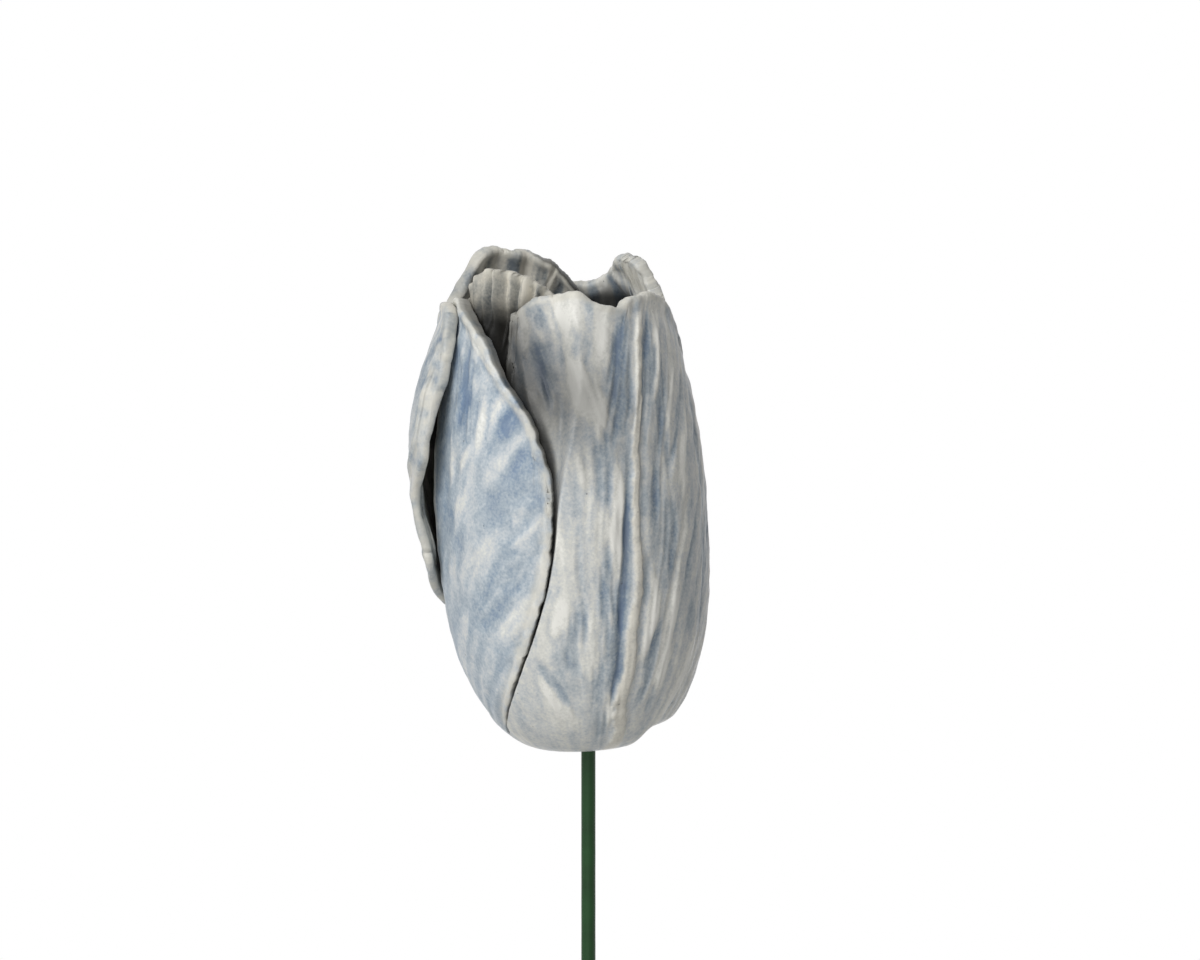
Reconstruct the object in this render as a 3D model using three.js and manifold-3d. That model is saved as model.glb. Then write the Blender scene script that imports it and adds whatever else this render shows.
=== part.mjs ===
// A glazed ceramic tulip on a stem of plastic-coated wire.
//
// Millimetres, +Z up. The origin is the middle of the stem's cut lower end, and the stem runs up +Z.
// Six petal shells stand round a solid clay base, three outer and three inner, and each margin passes
// under or over the next one like the petals of a real tulip. The stem is glued into a blind socket
// in the base, and the whole flower leans a little to one side (-X). The front of the flower is -Y.
import * as THREE from "three";
import { mergeVertices } from "three/addons/utils/BufferGeometryUtils.js";
import Module from "manifold-3d";

// Stem
const STEM_LENGTH = 280; // from the cut end to the underside of the flower
const STEM_DIAMETER = 2.0; // over the plastic coat
const COAT_WALL = 0.3;
const ROUND_FIT = 0.05; // clearance between round pieces on the stem's axis

// Socket in the clay base
const SOCKET_DEPTH = 12;
const GLUE_FILM = 0.35; // glue between the stem and the socket's wall
const GLUE_POOL = 0.8; // glue above the stem's end
const SOCKET_ROOF = 2.6; // clay left above the socket

// Body of the flower: a barrel of revolution that every petal follows at its own depth
const FLOWER_RADIUS = 18.6; // at the widest
const WIDEST_HEIGHT = 33; // above the flower's underside
const FOOT_RADIUS = 6; // where the petals start on the underside
const BELLY_FULLNESS = 2.6; // exponent of the rounded lower half
const MOUTH_HEIGHT = 63;
const MOUTH_RADIUS = 14.35;
const MOUTH_FULLNESS = 1.9; // exponent of the drawn-in upper half
const FLOWER_LEAN = 3.6; // degrees

// Petals
const PETAL_THICKNESS = 1.6;
const PETAL_GAP = 0.3;
const EDGE_THINNING = 0.15; // share of the thickness lost towards a margin
const EDGE_ROUND = 0.45; // how far a rounded margin stands out
const SIDE_BAND = 0.2; // share of the half petal that thins towards its side
const CROWN_BAND = 0.1; // share of the rows that thin towards the crown
const HEEL_HEIGHT = 3.2; // the thick foot of a petal ends here
const HEEL_MIDDLE = 0.3; // share of the half petal where the heel is full
const HEEL_END = 0.7; // share of the half petal where the heel ends
const FOOT_BEND = 4; // how soon a petal turns up from its flat start on the underside
const LAP_BLEND = 12; // degrees over which a margin dips under or climbs over its neighbour
const LAP_CLEAR = 5; // degrees by which the dip is complete before the neighbour's margin
const FLAT_DEPTH = 1.2; // of the flat on the underside at the right
const FLAT_LOW = 1; // height up to which the flat has its full depth
const FLAT_HIGH = 4; // height where it has faded out
const FLAT_ARC = { start: 44, full: 54, fade: 130, gone: 160 }; // degrees round the flower
const MIDRIB_HEIGHT = 0.5;
const MIDRIB_WIDTH = 0.7; // from the crest to where a third of the height is left

// Clay base inside the petals
const BASE_RIM_HEIGHT = 6; // height on the barrel where the base's rim ends

// Facets
const ROWS = 20;
const CROWN_GATHER = 1.3; // exponent that gathers the rows at the crown
const ROUND_SEGMENTS = 32;
const BASE_SEGMENTS = 48;
const BASE_RIM_STEPS = 6;
const WELD = 1e-4; // points closer than this are one point

const LAYER = PETAL_THICKNESS + PETAL_GAP; // depth of one petal and its gap
const BASE_DEPTH = 2 * LAYER; // the base lies under two layers of petals
const STEM_RADIUS = STEM_DIAMETER / 2;
const SOCKET_RADIUS = STEM_RADIUS + GLUE_FILM + 2 * ROUND_FIT;
const STEM_TOP = SOCKET_DEPTH - GLUE_POOL - 2 * ROUND_FIT; // above the flower's underside

const { degToRad, clamp, lerp, smoothstep } = THREE.MathUtils;

// One margin of a petal. Angles are degrees round the flower, from the front and to the right.
// The margin spreads from its foot angle to its full angle, up to the shoulder, where the crown starts.
// A lobe turns it further by some degrees, between two shares of its length.
function margin(foot, full, shoulder, form = {}) {
  const usual = { from: 0, to: 1, ease: 1, crown: 3, round: 0.4, lobe: { from: 0, to: 1, by: 0 }, columns: 9 };
  return { foot, full, shoulder, ...usual, ...form };
}

// The petals. Heights are above the flower's underside, shares run from 0 to 1.
// layer: how many petals deep the petal lies. foot, tip: heights of its lower end and its crown.
// midrib: angles of the rib at the foot and at the tip, how late it bends from one to the other, and
// how high it stands out.
// waves: lobes (rise above 0) and notches (rise below 0) along the crown, across the petal.
// laps: where the petal climbs over a neighbour's margin (1) or dips under it (-1), between two heights,
// and how far below a slanting margin it already makes way (ahead).
// curls: where an edge bends outwards (by above 0) or inwards (by below 0), across (from, to) the side
// named (-1 left, 1 right, 0 the middle) and up the petal (start, full, and then fade, gone).
const PETALS = {
  outer_petal_front_left: {
    layer: 0,
    foot: 0,
    tip: 64.3,
    midrib: { foot: -107, tip: -85, bend: 1, rise: 0 },
    left: margin(-131, -129, 40, { crown: 1.1, round: 0.45 }),
    right: margin(-95, -7.3, 40, { from: 0.1, ease: 0.52, crown: 1.67, round: 0.54, columns: 11 }),
    waves: [{ at: 0.85, reach: 0.24, rise: -1.7 }],
    laps: [],
    curls: [],
  },
  outer_petal_front_right: {
    layer: 0,
    foot: 0,
    tip: 64.2,
    midrib: { foot: 20, tip: 52, bend: 4, rise: MIDRIB_HEIGHT },
    left: margin(-90, -36, 62.2, { ease: 0.6, crown: 3.6, columns: 15 }),
    right: margin(95, 96, 56, { crown: 2.5, round: 0.8 }),
    waves: [
      { at: -0.58, reach: 0.34, rise: 1.8 },
      { at: -0.28, reach: 0.14, rise: -1.7 },
    ],
    laps: [{ petal: "outer_petal_front_left", side: "right", climb: -1, start: 0, full: 1.2, ahead: 1.5 }],
    curls: [{ side: -1, from: 0.5, to: 1, start: 0.6, full: 0.95, by: -0.7 }],
  },
  outer_petal_back: {
    layer: 0,
    foot: 0,
    tip: 68.3,
    midrib: { foot: 134, tip: 128, bend: 1, rise: MIDRIB_HEIGHT },
    left: margin(101, 105, 56, { crown: 1.8, round: 0.45 }),
    right: margin(194, 189, 54, { crown: 4 }),
    waves: [{ at: 0.68, reach: 0.5, rise: -4.2 }],
    laps: [],
    curls: [{ side: 0, from: 0.15, to: 0.45, start: 0.9, full: 1, by: -0.8 }],
  },
  inner_petal_back_left: {
    layer: 0,
    foot: 0,
    tip: 69.5,
    midrib: { foot: -148, tip: -138, bend: 1, rise: MIDRIB_HEIGHT },
    left: margin(-158, -204, 52, { crown: 3.2, round: 0.55 }),
    right: margin(-137, -77, 57, {
      from: 0.3,
      to: 0.57,
      ease: 2.4,
      crown: 2.5,
      round: 0.5,
      lobe: { from: 0.69, to: 0.8, by: 12 },
      columns: 11,
    }),
    waves: [{ at: 0.53, reach: 0.28, rise: -5.7 }],
    laps: [
      { petal: "outer_petal_back", side: "right", climb: -1, start: 0, full: 2.2 },
      { petal: "outer_petal_front_left", side: "left", climb: 1, start: 2, full: 7.5 },
    ],
    curls: [
      { side: 1, from: 0.1, to: 0.85, start: 0.44, full: 0.74, fade: 0.78, gone: 1.1, by: 2.4 },
      { side: -1, from: -0.5, to: 0, start: 0.86, full: 1, by: -1.2 },
    ],
  },
  inner_petal_right: {
    layer: 1,
    foot: HEEL_HEIGHT + 2 * PETAL_GAP,
    tip: 62.5,
    midrib: { foot: 88, tip: 97, bend: 1, rise: 0 },
    left: margin(56, 46, 46, { crown: 2 }),
    right: margin(122, 136, 46, { crown: 2 }),
    waves: [],
    laps: [],
    curls: [],
  },
  inner_petal_front: {
    layer: 1,
    foot: BASE_RIM_HEIGHT + 2 * PETAL_GAP,
    tip: 69.2,
    midrib: { foot: -36, tip: -44, bend: 1, rise: 0 },
    left: margin(-66, -104, 55, { crown: 3.2, round: 0.6 }),
    right: margin(-8, 9, 62, { crown: 1.5, round: 0.52 }),
    waves: [],
    laps: [{ petal: "outer_petal_front_right", side: "left", climb: -1, start: 0, full: 2.2 }],
    curls: [{ side: 1, from: -0.3, to: 0.3, start: 0.5, full: 0.9, by: -1.4 }],
  },
};

// The barrel at a height: its radius and the outward normal of its profile.
function barrel(height) {
  if (height > WIDEST_HEIGHT) {
    const span = MOUTH_HEIGHT - WIDEST_HEIGHT;
    const drawIn = FLOWER_RADIUS - MOUTH_RADIUS;
    const share = (height - WIDEST_HEIGHT) / span;
    const slope = (-drawIn * MOUTH_FULLNESS * share ** (MOUTH_FULLNESS - 1)) / span;
    const length = Math.hypot(1, slope);
    return { radius: FLOWER_RADIUS - drawIn * share ** MOUTH_FULLNESS, out: 1 / length, up: -slope / length };
  }
  const spread = FLOWER_RADIUS - FOOT_RADIUS;
  const cosine = (1 - height / WIDEST_HEIGHT) ** (BELLY_FULLNESS / 2);
  const sine = Math.sqrt(1 - cosine * cosine);
  const run = spread * cosine;
  const rise = ((WIDEST_HEIGHT * 2) / BELLY_FULLNESS) * cosine ** (2 / BELLY_FULLNESS - 1) * sine;
  const length = Math.hypot(run, rise);
  return { radius: FOOT_RADIUS + spread * sine, out: rise / length, up: -run / length };
}

// The barrel's profile moved in or out by a depth along its normal: a point of (radius, height).
function barrelProfile(height, depth) {
  const { radius, out, up } = barrel(height);
  return new THREE.Vector2(radius + depth * out, height + depth * up);
}

// The same point turned to an angle round the flower.
function barrelPoint(angle, height, depth) {
  const profile = barrelProfile(height, depth);
  const turn = degToRad(angle);
  return new THREE.Vector3(profile.x * Math.sin(turn), -profile.x * Math.cos(turn), profile.y);
}

// Share of a petal's height at row v. It starts level, because the petals start flat on the underside.
const climbShare = (v) => ((1 + FOOT_BEND) * v * v) / (1 + FOOT_BEND * v);

// The row at which a share of the height is reached: the inverse of climbShare.
function rowAt(share) {
  const held = clamp(share, 0, 1);
  const b = FOOT_BEND * held;
  return (b + Math.sqrt(b * b + 4 * (1 + FOOT_BEND) * held)) / (2 * (1 + FOOT_BEND));
}

function marginAngle(edge, v) {
  const share = clamp((v - edge.from) / (edge.to - edge.from), 0, 1);
  const spread = lerp(edge.foot, edge.full, Math.sin((share * Math.PI) / 2) ** edge.ease);
  return spread + edge.lobe.by * smoothstep(v, edge.lobe.from, edge.lobe.to);
}

const ribAngle = ({ midrib }, v) => lerp(midrib.foot, midrib.tip, v ** midrib.bend);

// Angle of a petal's margin at a height on the barrel.
function marginAngleAt(petal, side, height) {
  const edge = petal[side];
  return marginAngle(edge, rowAt((height - petal.foot) / (edge.shoulder - petal.foot)));
}

// Angle and height on the barrel at (u, v): u is -1 and 1 on the margins and 0 on the midrib,
// v is 0 on the foot and 1 on the crown.
function petalPlace(petal, u, v) {
  const edge = u < 0 ? petal.left : petal.right;
  const angle = lerp(ribAngle(petal, v), marginAngle(edge, v), Math.abs(u));
  let top = lerp(edge.shoulder, petal.tip, (1 - Math.abs(u) ** edge.crown) ** edge.round);
  for (const wave of petal.waves) {
    top += wave.rise * Math.exp(-(((u - wave.at) / wave.reach) ** 4));
  }
  return { angle, height: lerp(petal.foot, top, climbShare(v)) };
}

// Smallest signed turn from one angle to another, in degrees.
const turnBetween = (from, to) => THREE.MathUtils.euclideanModulo(to - from + 180, 360) - 180;

// Depth of the flat on the underside.
function flatDepth(angle, height) {
  const across = smoothstep(angle, FLAT_ARC.start, FLAT_ARC.full);
  const beyond = smoothstep(angle, FLAT_ARC.fade, FLAT_ARC.gone);
  return FLAT_DEPTH * across * (1 - beyond) * (1 - smoothstep(height, FLAT_LOW, FLAT_HIGH));
}

// Depth of a petal's outer face: its layer, the margins that dip under or climb over a neighbour,
// the curled edges, the flat and the midrib.
function outerDepth(petal, u, v) {
  const { angle, height } = petalPlace(petal, u, v);
  let depth = -petal.layer * LAYER - flatDepth(angle, height);
  for (const lap of petal.laps) {
    const edge = marginAngleAt(PETALS[lap.petal], lap.side, height + (lap.ahead ?? 0));
    const past = lap.side === "right" ? turnBetween(angle, edge) : turnBetween(edge, angle);
    const share = smoothstep(past, -LAP_BLEND - LAP_CLEAR, -LAP_CLEAR);
    depth += lap.climb * LAYER * share * smoothstep(height, lap.start, lap.full);
  }
  for (const curl of petal.curls) {
    const reach = smoothstep(curl.side === 0 ? Math.abs(u) : curl.side * u, curl.from, curl.to);
    const across = curl.side === 0 ? 1 - reach : reach;
    const fade = curl.gone ? 1 - smoothstep(v, curl.fade, curl.gone) : 1;
    depth += curl.by * across * smoothstep(v, curl.start, curl.full) * fade;
  }
  const fromRib = degToRad(angle - ribAngle(petal, v)) * barrel(height).radius;
  return depth + petal.midrib.rise * Math.exp(-((fromRib / MIDRIB_WIDTH) ** 2)) * (1 - v * v);
}

// Depth of the inner face. The middle of a petal's foot is a thick heel that reaches the clay base.
function innerDepth(petal, u, v) {
  const { height } = petalPlace(petal, u, v);
  const across = Math.abs(u);
  const towardsEdge = Math.max(smoothstep(across, 1 - SIDE_BAND, 1), smoothstep(v, 1 - CROWN_BAND, 1));
  const thin = outerDepth(petal, u, v) - PETAL_THICKNESS * (1 - EDGE_THINNING * towardsEdge);
  const heel = (1 - smoothstep(height, 0, HEEL_HEIGHT)) * (1 - smoothstep(across, HEEL_MIDDLE, HEEL_END));
  return lerp(thin, PETAL_GAP - BASE_DEPTH, heel);
}

// A point half-way through the thickness of a margin, standing out past it to round the edge.
function edgePoint(petal, u, v) {
  const { angle, height } = petalPlace(petal, u, v);
  const depth = (outerDepth(petal, u, v) + innerDepth(petal, u, v)) / 2;
  const aboveHeel = smoothstep(height, 0, HEEL_HEIGHT);
  const sideways = (Math.abs(u) === 1 ? Math.sign(u) : 0) * aboveHeel * EDGE_ROUND;
  const upwards = v === 1 ? EDGE_ROUND : 0;
  const turn = THREE.MathUtils.radToDeg(sideways / barrel(height).radius);
  return barrelPoint(angle + turn, height + upwards, depth);
}

// A petal is a closed shell: a grid of points on each face and a rounded strip along the margins.
// Columns gather at the midrib and the margins, rows gather at the foot and the crown.
function petalGeometry(petal) {
  const columns = [];
  for (let i = -petal.left.columns; i <= petal.right.columns; i++) {
    const half = i < 0 ? petal.left.columns : petal.right.columns;
    columns.push((Math.sign(i) * (1 - Math.cos((Math.PI * Math.abs(i)) / half))) / 2);
  }
  const rows = [];
  for (let j = 0; j <= ROWS; j++) {
    rows.push(1 - (1 - j / ROWS) ** CROWN_GATHER);
  }
  const width = columns.length;
  const faceSize = width * rows.length;
  const points = [];
  for (const depthOf of [outerDepth, innerDepth]) {
    for (const v of rows) {
      for (const u of columns) {
        const { angle, height } = petalPlace(petal, u, v);
        points.push(barrelPoint(angle, height, depthOf(petal, u, v)));
      }
    }
  }
  const index = [];
  const quad = (a, b, c, d) => index.push(a, b, c, a, c, d);
  for (let j = 0; j < ROWS; j++) {
    for (let i = 0; i < width - 1; i++) {
      const a = j * width + i;
      quad(a, a + 1, a + width + 1, a + width);
      const b = a + faceSize;
      quad(b + width, b + width + 1, b + 1, b);
    }
  }
  // The margins in one loop, anticlockwise as seen from outside: foot, right, crown, left.
  const loop = [];
  for (let i = 0; i < width - 1; i++) loop.push([i, 0]);
  for (let j = 0; j < ROWS; j++) loop.push([width - 1, j]);
  for (let i = width - 1; i > 0; i--) loop.push([i, ROWS]);
  for (let j = ROWS; j > 0; j--) loop.push([0, j]);
  const firstEdge = points.length;
  for (const [i, j] of loop) {
    points.push(edgePoint(petal, columns[i], rows[j]));
  }
  loop.forEach(([i, j], k) => {
    const next = (k + 1) % loop.length;
    const outer = j * width + i;
    const outerNext = loop[next][1] * width + loop[next][0];
    quad(outerNext, outer, firstEdge + k, firstEdge + next);
    quad(firstEdge + next, firstEdge + k, outer + faceSize, outerNext + faceSize);
  });
  const geometry = new THREE.BufferGeometry().setFromPoints(points);
  geometry.setIndex(index);
  return geometry;
}

// Lathe about +Z from a profile of (radius, height) points.
function turned(profile, segments) {
  return new THREE.LatheGeometry(profile, segments).rotateX(Math.PI / 2);
}

const wasm = await Module();
wasm.setup();

// A closed geometry as a solid for cutting. Triangles without area, at a lathe's poles, are left out.
function solidOf(geometry) {
  const bare = geometry.clone();
  bare.deleteAttribute("normal");
  bare.deleteAttribute("uv");
  const merged = mergeVertices(bare, WELD);
  const triangles = [];
  for (let k = 0; k < merged.index.count; k += 3) {
    const [a, b, c] = [0, 1, 2].map((n) => merged.index.getX(k + n));
    if (a !== b && b !== c && c !== a) triangles.push(a, b, c);
  }
  const vertProperties = new Float32Array(merged.attributes.position.array);
  const mesh = new wasm.Mesh({ numProp: 3, vertProperties, triVerts: new Uint32Array(triangles) });
  return new wasm.Manifold(mesh);
}

function geometryOf(solid) {
  const mesh = solid.getMesh();
  const geometry = new THREE.BufferGeometry();
  geometry.setAttribute("position", new THREE.BufferAttribute(new Float32Array(mesh.vertProperties), 3));
  geometry.setIndex(new THREE.BufferAttribute(new Uint32Array(mesh.triVerts), 1));
  return geometry;
}

// The clay base: a neck between the petals' feet, a rim that follows the inside of the petals, and a
// dome over the socket, which is drilled along the stem's axis and so slants in the leaning flower.
function baseGeometry() {
  const neck = FOOT_RADIUS - PETAL_GAP;
  const profile = [new THREE.Vector2(0, 0), new THREE.Vector2(neck, 0), new THREE.Vector2(neck, BASE_DEPTH)];
  for (let k = 1; k <= BASE_RIM_STEPS; k++) {
    profile.push(barrelProfile(BASE_RIM_HEIGHT * (k / BASE_RIM_STEPS) ** 2, -BASE_DEPTH));
  }
  const rim = profile[profile.length - 1];
  const shoulder = barrelProfile(BASE_RIM_HEIGHT, -BASE_DEPTH - PETAL_THICKNESS - LAYER);
  const top = new THREE.Vector2(0, SOCKET_DEPTH + SOCKET_ROOF);
  const dome = new THREE.QuadraticBezierCurve(shoulder, new THREE.Vector2(rim.x / 2, top.y), top);
  profile.push(...dome.getPoints(BASE_RIM_STEPS));
  const drill = new THREE.CylinderGeometry(SOCKET_RADIUS, SOCKET_RADIUS, 2 * SOCKET_DEPTH, ROUND_SEGMENTS);
  drill.rotateX(Math.PI / 2).rotateY(degToRad(FLOWER_LEAN));
  return geometryOf(solidOf(turned(profile, BASE_SEGMENTS)).subtract(solidOf(drill)));
}

// The glue: a cup round the stem's end that fills the socket.
function glueGeometry() {
  const inner = STEM_RADIUS + ROUND_FIT;
  const outer = SOCKET_RADIUS - ROUND_FIT;
  const mouth = SOCKET_RADIUS * Math.tan(degToRad(FLOWER_LEAN)) + ROUND_FIT;
  const profile = [
    new THREE.Vector2(0, STEM_TOP + ROUND_FIT),
    new THREE.Vector2(inner, STEM_TOP + ROUND_FIT),
    new THREE.Vector2(inner, mouth),
    new THREE.Vector2(outer, mouth),
    new THREE.Vector2(outer, SOCKET_DEPTH - ROUND_FIT),
    new THREE.Vector2(0, SOCKET_DEPTH - ROUND_FIT),
  ];
  return turned(profile, ROUND_SEGMENTS);
}

function coatGeometry() {
  const bore = STEM_RADIUS - COAT_WALL;
  const top = STEM_LENGTH + STEM_TOP;
  const profile = [
    new THREE.Vector2(bore, 0),
    new THREE.Vector2(STEM_RADIUS, 0),
    new THREE.Vector2(STEM_RADIUS, top),
    new THREE.Vector2(bore, top),
    new THREE.Vector2(bore, 0),
  ];
  return turned(profile, ROUND_SEGMENTS);
}

function wireGeometry() {
  const radius = STEM_RADIUS - COAT_WALL - ROUND_FIT;
  const length = STEM_LENGTH + STEM_TOP;
  const wire = new THREE.CylinderGeometry(radius, radius, length, ROUND_SEGMENTS);
  return wire.rotateX(Math.PI / 2).translate(0, 0, length / 2);
}

function piece(name, geometry, look) {
  const mesh = new THREE.Mesh(geometry, new THREE.MeshStandardMaterial(look));
  mesh.name = name;
  return mesh;
}

const GLAZE = { color: "#b3babd", roughness: 0.28, metalness: 0 };
const CLAY = { color: "#c9c5b8", roughness: 0.6, metalness: 0 };
const GREEN_PLASTIC = { color: "#2d4c2d", roughness: 0.45, metalness: 0 };
const STEEL = { color: "#8f9194", roughness: 0.4, metalness: 1 };
const GLUE = { color: "#d9cfa8", roughness: 0.3, metalness: 0 };

const tulip = new THREE.Group();

const flower = new THREE.Group();
flower.position.z = STEM_LENGTH;
flower.rotation.y = degToRad(-FLOWER_LEAN);
for (const [name, petal] of Object.entries(PETALS)) {
  flower.add(piece(name, petalGeometry(petal), GLAZE));
}
flower.add(piece("clay_base", baseGeometry(), CLAY));
tulip.add(flower);

const glue = piece("stem_glue", glueGeometry(), GLUE);
glue.position.z = STEM_LENGTH;
tulip.add(glue);
tulip.add(piece("stem_coat", coatGeometry(), GREEN_PLASTIC));
tulip.add(piece("stem_wire", wireGeometry(), STEEL));

export default tulip;
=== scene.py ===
# %% [markdown]
# # A glazed ceramic tulip on a wire stem
#
# The real flower is pressed clay: six thin petals stand round a solid base and lap over each other like
# the petals of a garden tulip. It is painted in streaks of blue-grey and cream glaze, fired, and glued
# on a length of plastic-coated wire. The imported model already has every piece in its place. Here the
# petals and the stem's coat are made again as fine surfaces, with veins, ragged margins and brushed
# glaze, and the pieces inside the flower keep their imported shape.

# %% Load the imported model
import math
from types import SimpleNamespace

import bpy
import numpy as np
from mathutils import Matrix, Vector


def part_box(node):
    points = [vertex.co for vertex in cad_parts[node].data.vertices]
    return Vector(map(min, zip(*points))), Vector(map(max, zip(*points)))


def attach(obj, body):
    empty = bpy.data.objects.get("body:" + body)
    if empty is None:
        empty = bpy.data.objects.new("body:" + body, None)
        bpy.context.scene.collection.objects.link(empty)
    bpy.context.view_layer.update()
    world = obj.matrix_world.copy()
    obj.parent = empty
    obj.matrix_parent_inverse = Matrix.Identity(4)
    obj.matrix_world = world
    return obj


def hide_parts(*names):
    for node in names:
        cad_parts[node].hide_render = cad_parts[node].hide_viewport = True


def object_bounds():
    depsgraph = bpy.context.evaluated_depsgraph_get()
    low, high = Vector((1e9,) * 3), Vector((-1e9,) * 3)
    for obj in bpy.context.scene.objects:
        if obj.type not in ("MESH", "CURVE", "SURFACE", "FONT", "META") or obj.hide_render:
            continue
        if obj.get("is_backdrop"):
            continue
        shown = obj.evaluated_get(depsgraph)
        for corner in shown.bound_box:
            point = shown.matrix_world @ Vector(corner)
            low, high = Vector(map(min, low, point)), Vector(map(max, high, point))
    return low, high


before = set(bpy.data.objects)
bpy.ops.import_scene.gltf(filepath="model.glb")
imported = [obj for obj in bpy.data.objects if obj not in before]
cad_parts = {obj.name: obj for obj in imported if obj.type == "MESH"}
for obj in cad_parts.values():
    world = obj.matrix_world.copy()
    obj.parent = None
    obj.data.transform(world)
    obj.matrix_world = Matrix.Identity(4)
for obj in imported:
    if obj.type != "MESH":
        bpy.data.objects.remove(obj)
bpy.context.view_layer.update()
MM = 0.001

# %% [markdown]
# ## The body that every petal follows
#
# The petals of a closed tulip lie on one barrel-shaped body, at slightly different depths. So a petal is
# written as a map from two parameters to an angle and a height on the barrel, and a depth below it. A
# petal could also be sculpted from a plane with modifiers, but then the laps and the thin gaps between
# neighbours would have to be found by eye. Lengths are in millimetres here, and angles are degrees round
# the flower, from the front (-Y) and to the right (+X). Most pairs, such as (34, 56), say where a change
# starts and where it is complete.

# %% Driving sizes of the flower
FLOWER_RADIUS = 18.6
WIDEST_HEIGHT = 33.0
FOOT_RADIUS = 6.0
BELLY_FULLNESS = 2.6
MOUTH_HEIGHT = 63.0
MOUTH_RADIUS = 14.35
MOUTH_FULLNESS = 1.9
FLOWER_LEAN = 3.6
STEM_END_IN_SOCKET = 11.1
FLOWER_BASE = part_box("stem_coat")[1].z / MM - STEM_END_IN_SOCKET
print("underside of the flower at", round(FLOWER_BASE, 2), "mm")

# %% The barrel
LEAST_SHARE = 1e-6


def mix(a, b, share):
    """a where share is 0, b where it is 1, and a straight line between."""
    return a + (b - a) * share


def smooth(x, start, end):
    """0 before start, 1 after end, and an S-shaped cubic between."""
    t = np.clip((x - start) / (end - start), 0, 1)
    return t * t * (3 - 2 * t)


def barrel(height):
    """Radius of the barrel and its outward normal (out, up) at a height.

    Below the widest height the profile is a quarter of a superellipse. Above it the radius
    falls off with a power of the height.
    """
    span = MOUTH_HEIGHT - WIDEST_HEIGHT
    draw_in = FLOWER_RADIUS - MOUTH_RADIUS
    above = np.maximum(height - WIDEST_HEIGHT, 0) / span
    slope = -draw_in * MOUTH_FULLNESS * above ** (MOUTH_FULLNESS - 1) / span
    spread = FLOWER_RADIUS - FOOT_RADIUS
    cosine = np.clip(1 - height / WIDEST_HEIGHT, LEAST_SHARE, 1) ** (BELLY_FULLNESS / 2)
    sine = np.sqrt(1 - cosine**2)
    rise = 2 * WIDEST_HEIGHT / BELLY_FULLNESS * cosine ** (2 / BELLY_FULLNESS - 1) * sine
    upper = height > WIDEST_HEIGHT
    radius = np.where(upper, FLOWER_RADIUS - draw_in * above**MOUTH_FULLNESS, FOOT_RADIUS + spread * sine)
    out = np.where(upper, 1, rise)
    up = np.where(upper, -slope, -spread * cosine)
    length = np.hypot(out, up)
    return radius, out / length, up / length


def on_barrel(angle, height, depth):
    """Points at an angle and a height, moved along the barrel's normal by depth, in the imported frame.

    The flower is turned about Y by its lean and lifted to the top of the stem.
    """
    radius, out, up = barrel(height)
    turn = np.radians(angle)
    reach = radius + depth * out
    x, y, z = reach * np.sin(turn), -reach * np.cos(turn), height + depth * up
    lean = math.radians(FLOWER_LEAN)
    leant_x = x * math.cos(lean) - z * math.sin(lean)
    leant_z = x * math.sin(lean) + z * math.cos(lean)
    return np.stack([leant_x, y, leant_z + FLOWER_BASE], -1) * MM


print("radius at foot, belly and mouth:", barrel(np.array([0, WIDEST_HEIGHT, MOUTH_HEIGHT]))[0].round(2))

# %% [markdown]
# ## The six petals
#
# Each petal is described by its two margins, its midrib and its crown. The numbers are those of the packed
# model, apart from a few margins, crowns and laps that follow the photograph more closely. So each shell
# lies where its solid is, to within about a petal's thickness. Waves are lobes and notches in the crown,
# laps say where a petal dips under a neighbour or climbs over it, and curls bend an edge in or out.

# %% Petal descriptions
PETAL_THICKNESS = 1.6
PETAL_GAP = 0.3
HEEL_HEIGHT = 3.2
BASE_RIM_HEIGHT = 6.0
UNDER, OVER = -1, 1


def margin(foot, full, shoulder, **form):
    """One margin: its angle at the foot and in full, and the height where the crown starts.

    It swings out between the rows begin and end, ease is the power of that swing, and lobe is a second
    swing (first row, last row, degrees). crown and round are the crown's powers on this side.
    """
    usual = dict(begin=0, end=1, ease=1, crown=3, round=0.4, lobe=(0, 1, 0))
    return dict(usual, foot=foot, full=full, shoulder=shoulder) | form


def lap(neighbour, side, climb, heights):
    """Where a petal passes a neighbour's margin, UNDER or OVER it, and the heights where that sets in."""
    return dict(neighbour=neighbour, side=side, climb=climb, heights=heights)


def curl(side, across, rows, by, fade=None):
    """An edge bent by some mm on one side (-1, 1, or 0 for the middle), over a width and some rows.

    It may fade out again over some more rows.
    """
    return dict(side=side, across=across, rows=rows, by=by, fade=fade)


def petal(layer, foot, tip, midrib, left, right, waves=(), laps=(), curls=()):
    """A petal of the outer layer (0) or the one below it (1), from the height of its foot to its tip.

    midrib is (foot angle, tip angle, bend), and waves are (place across, reach, rise in mm).
    """
    return dict(layer=layer, foot=foot, tip=tip, midrib=midrib, left=left, right=right,
                waves=waves, laps=laps, curls=curls)


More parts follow.
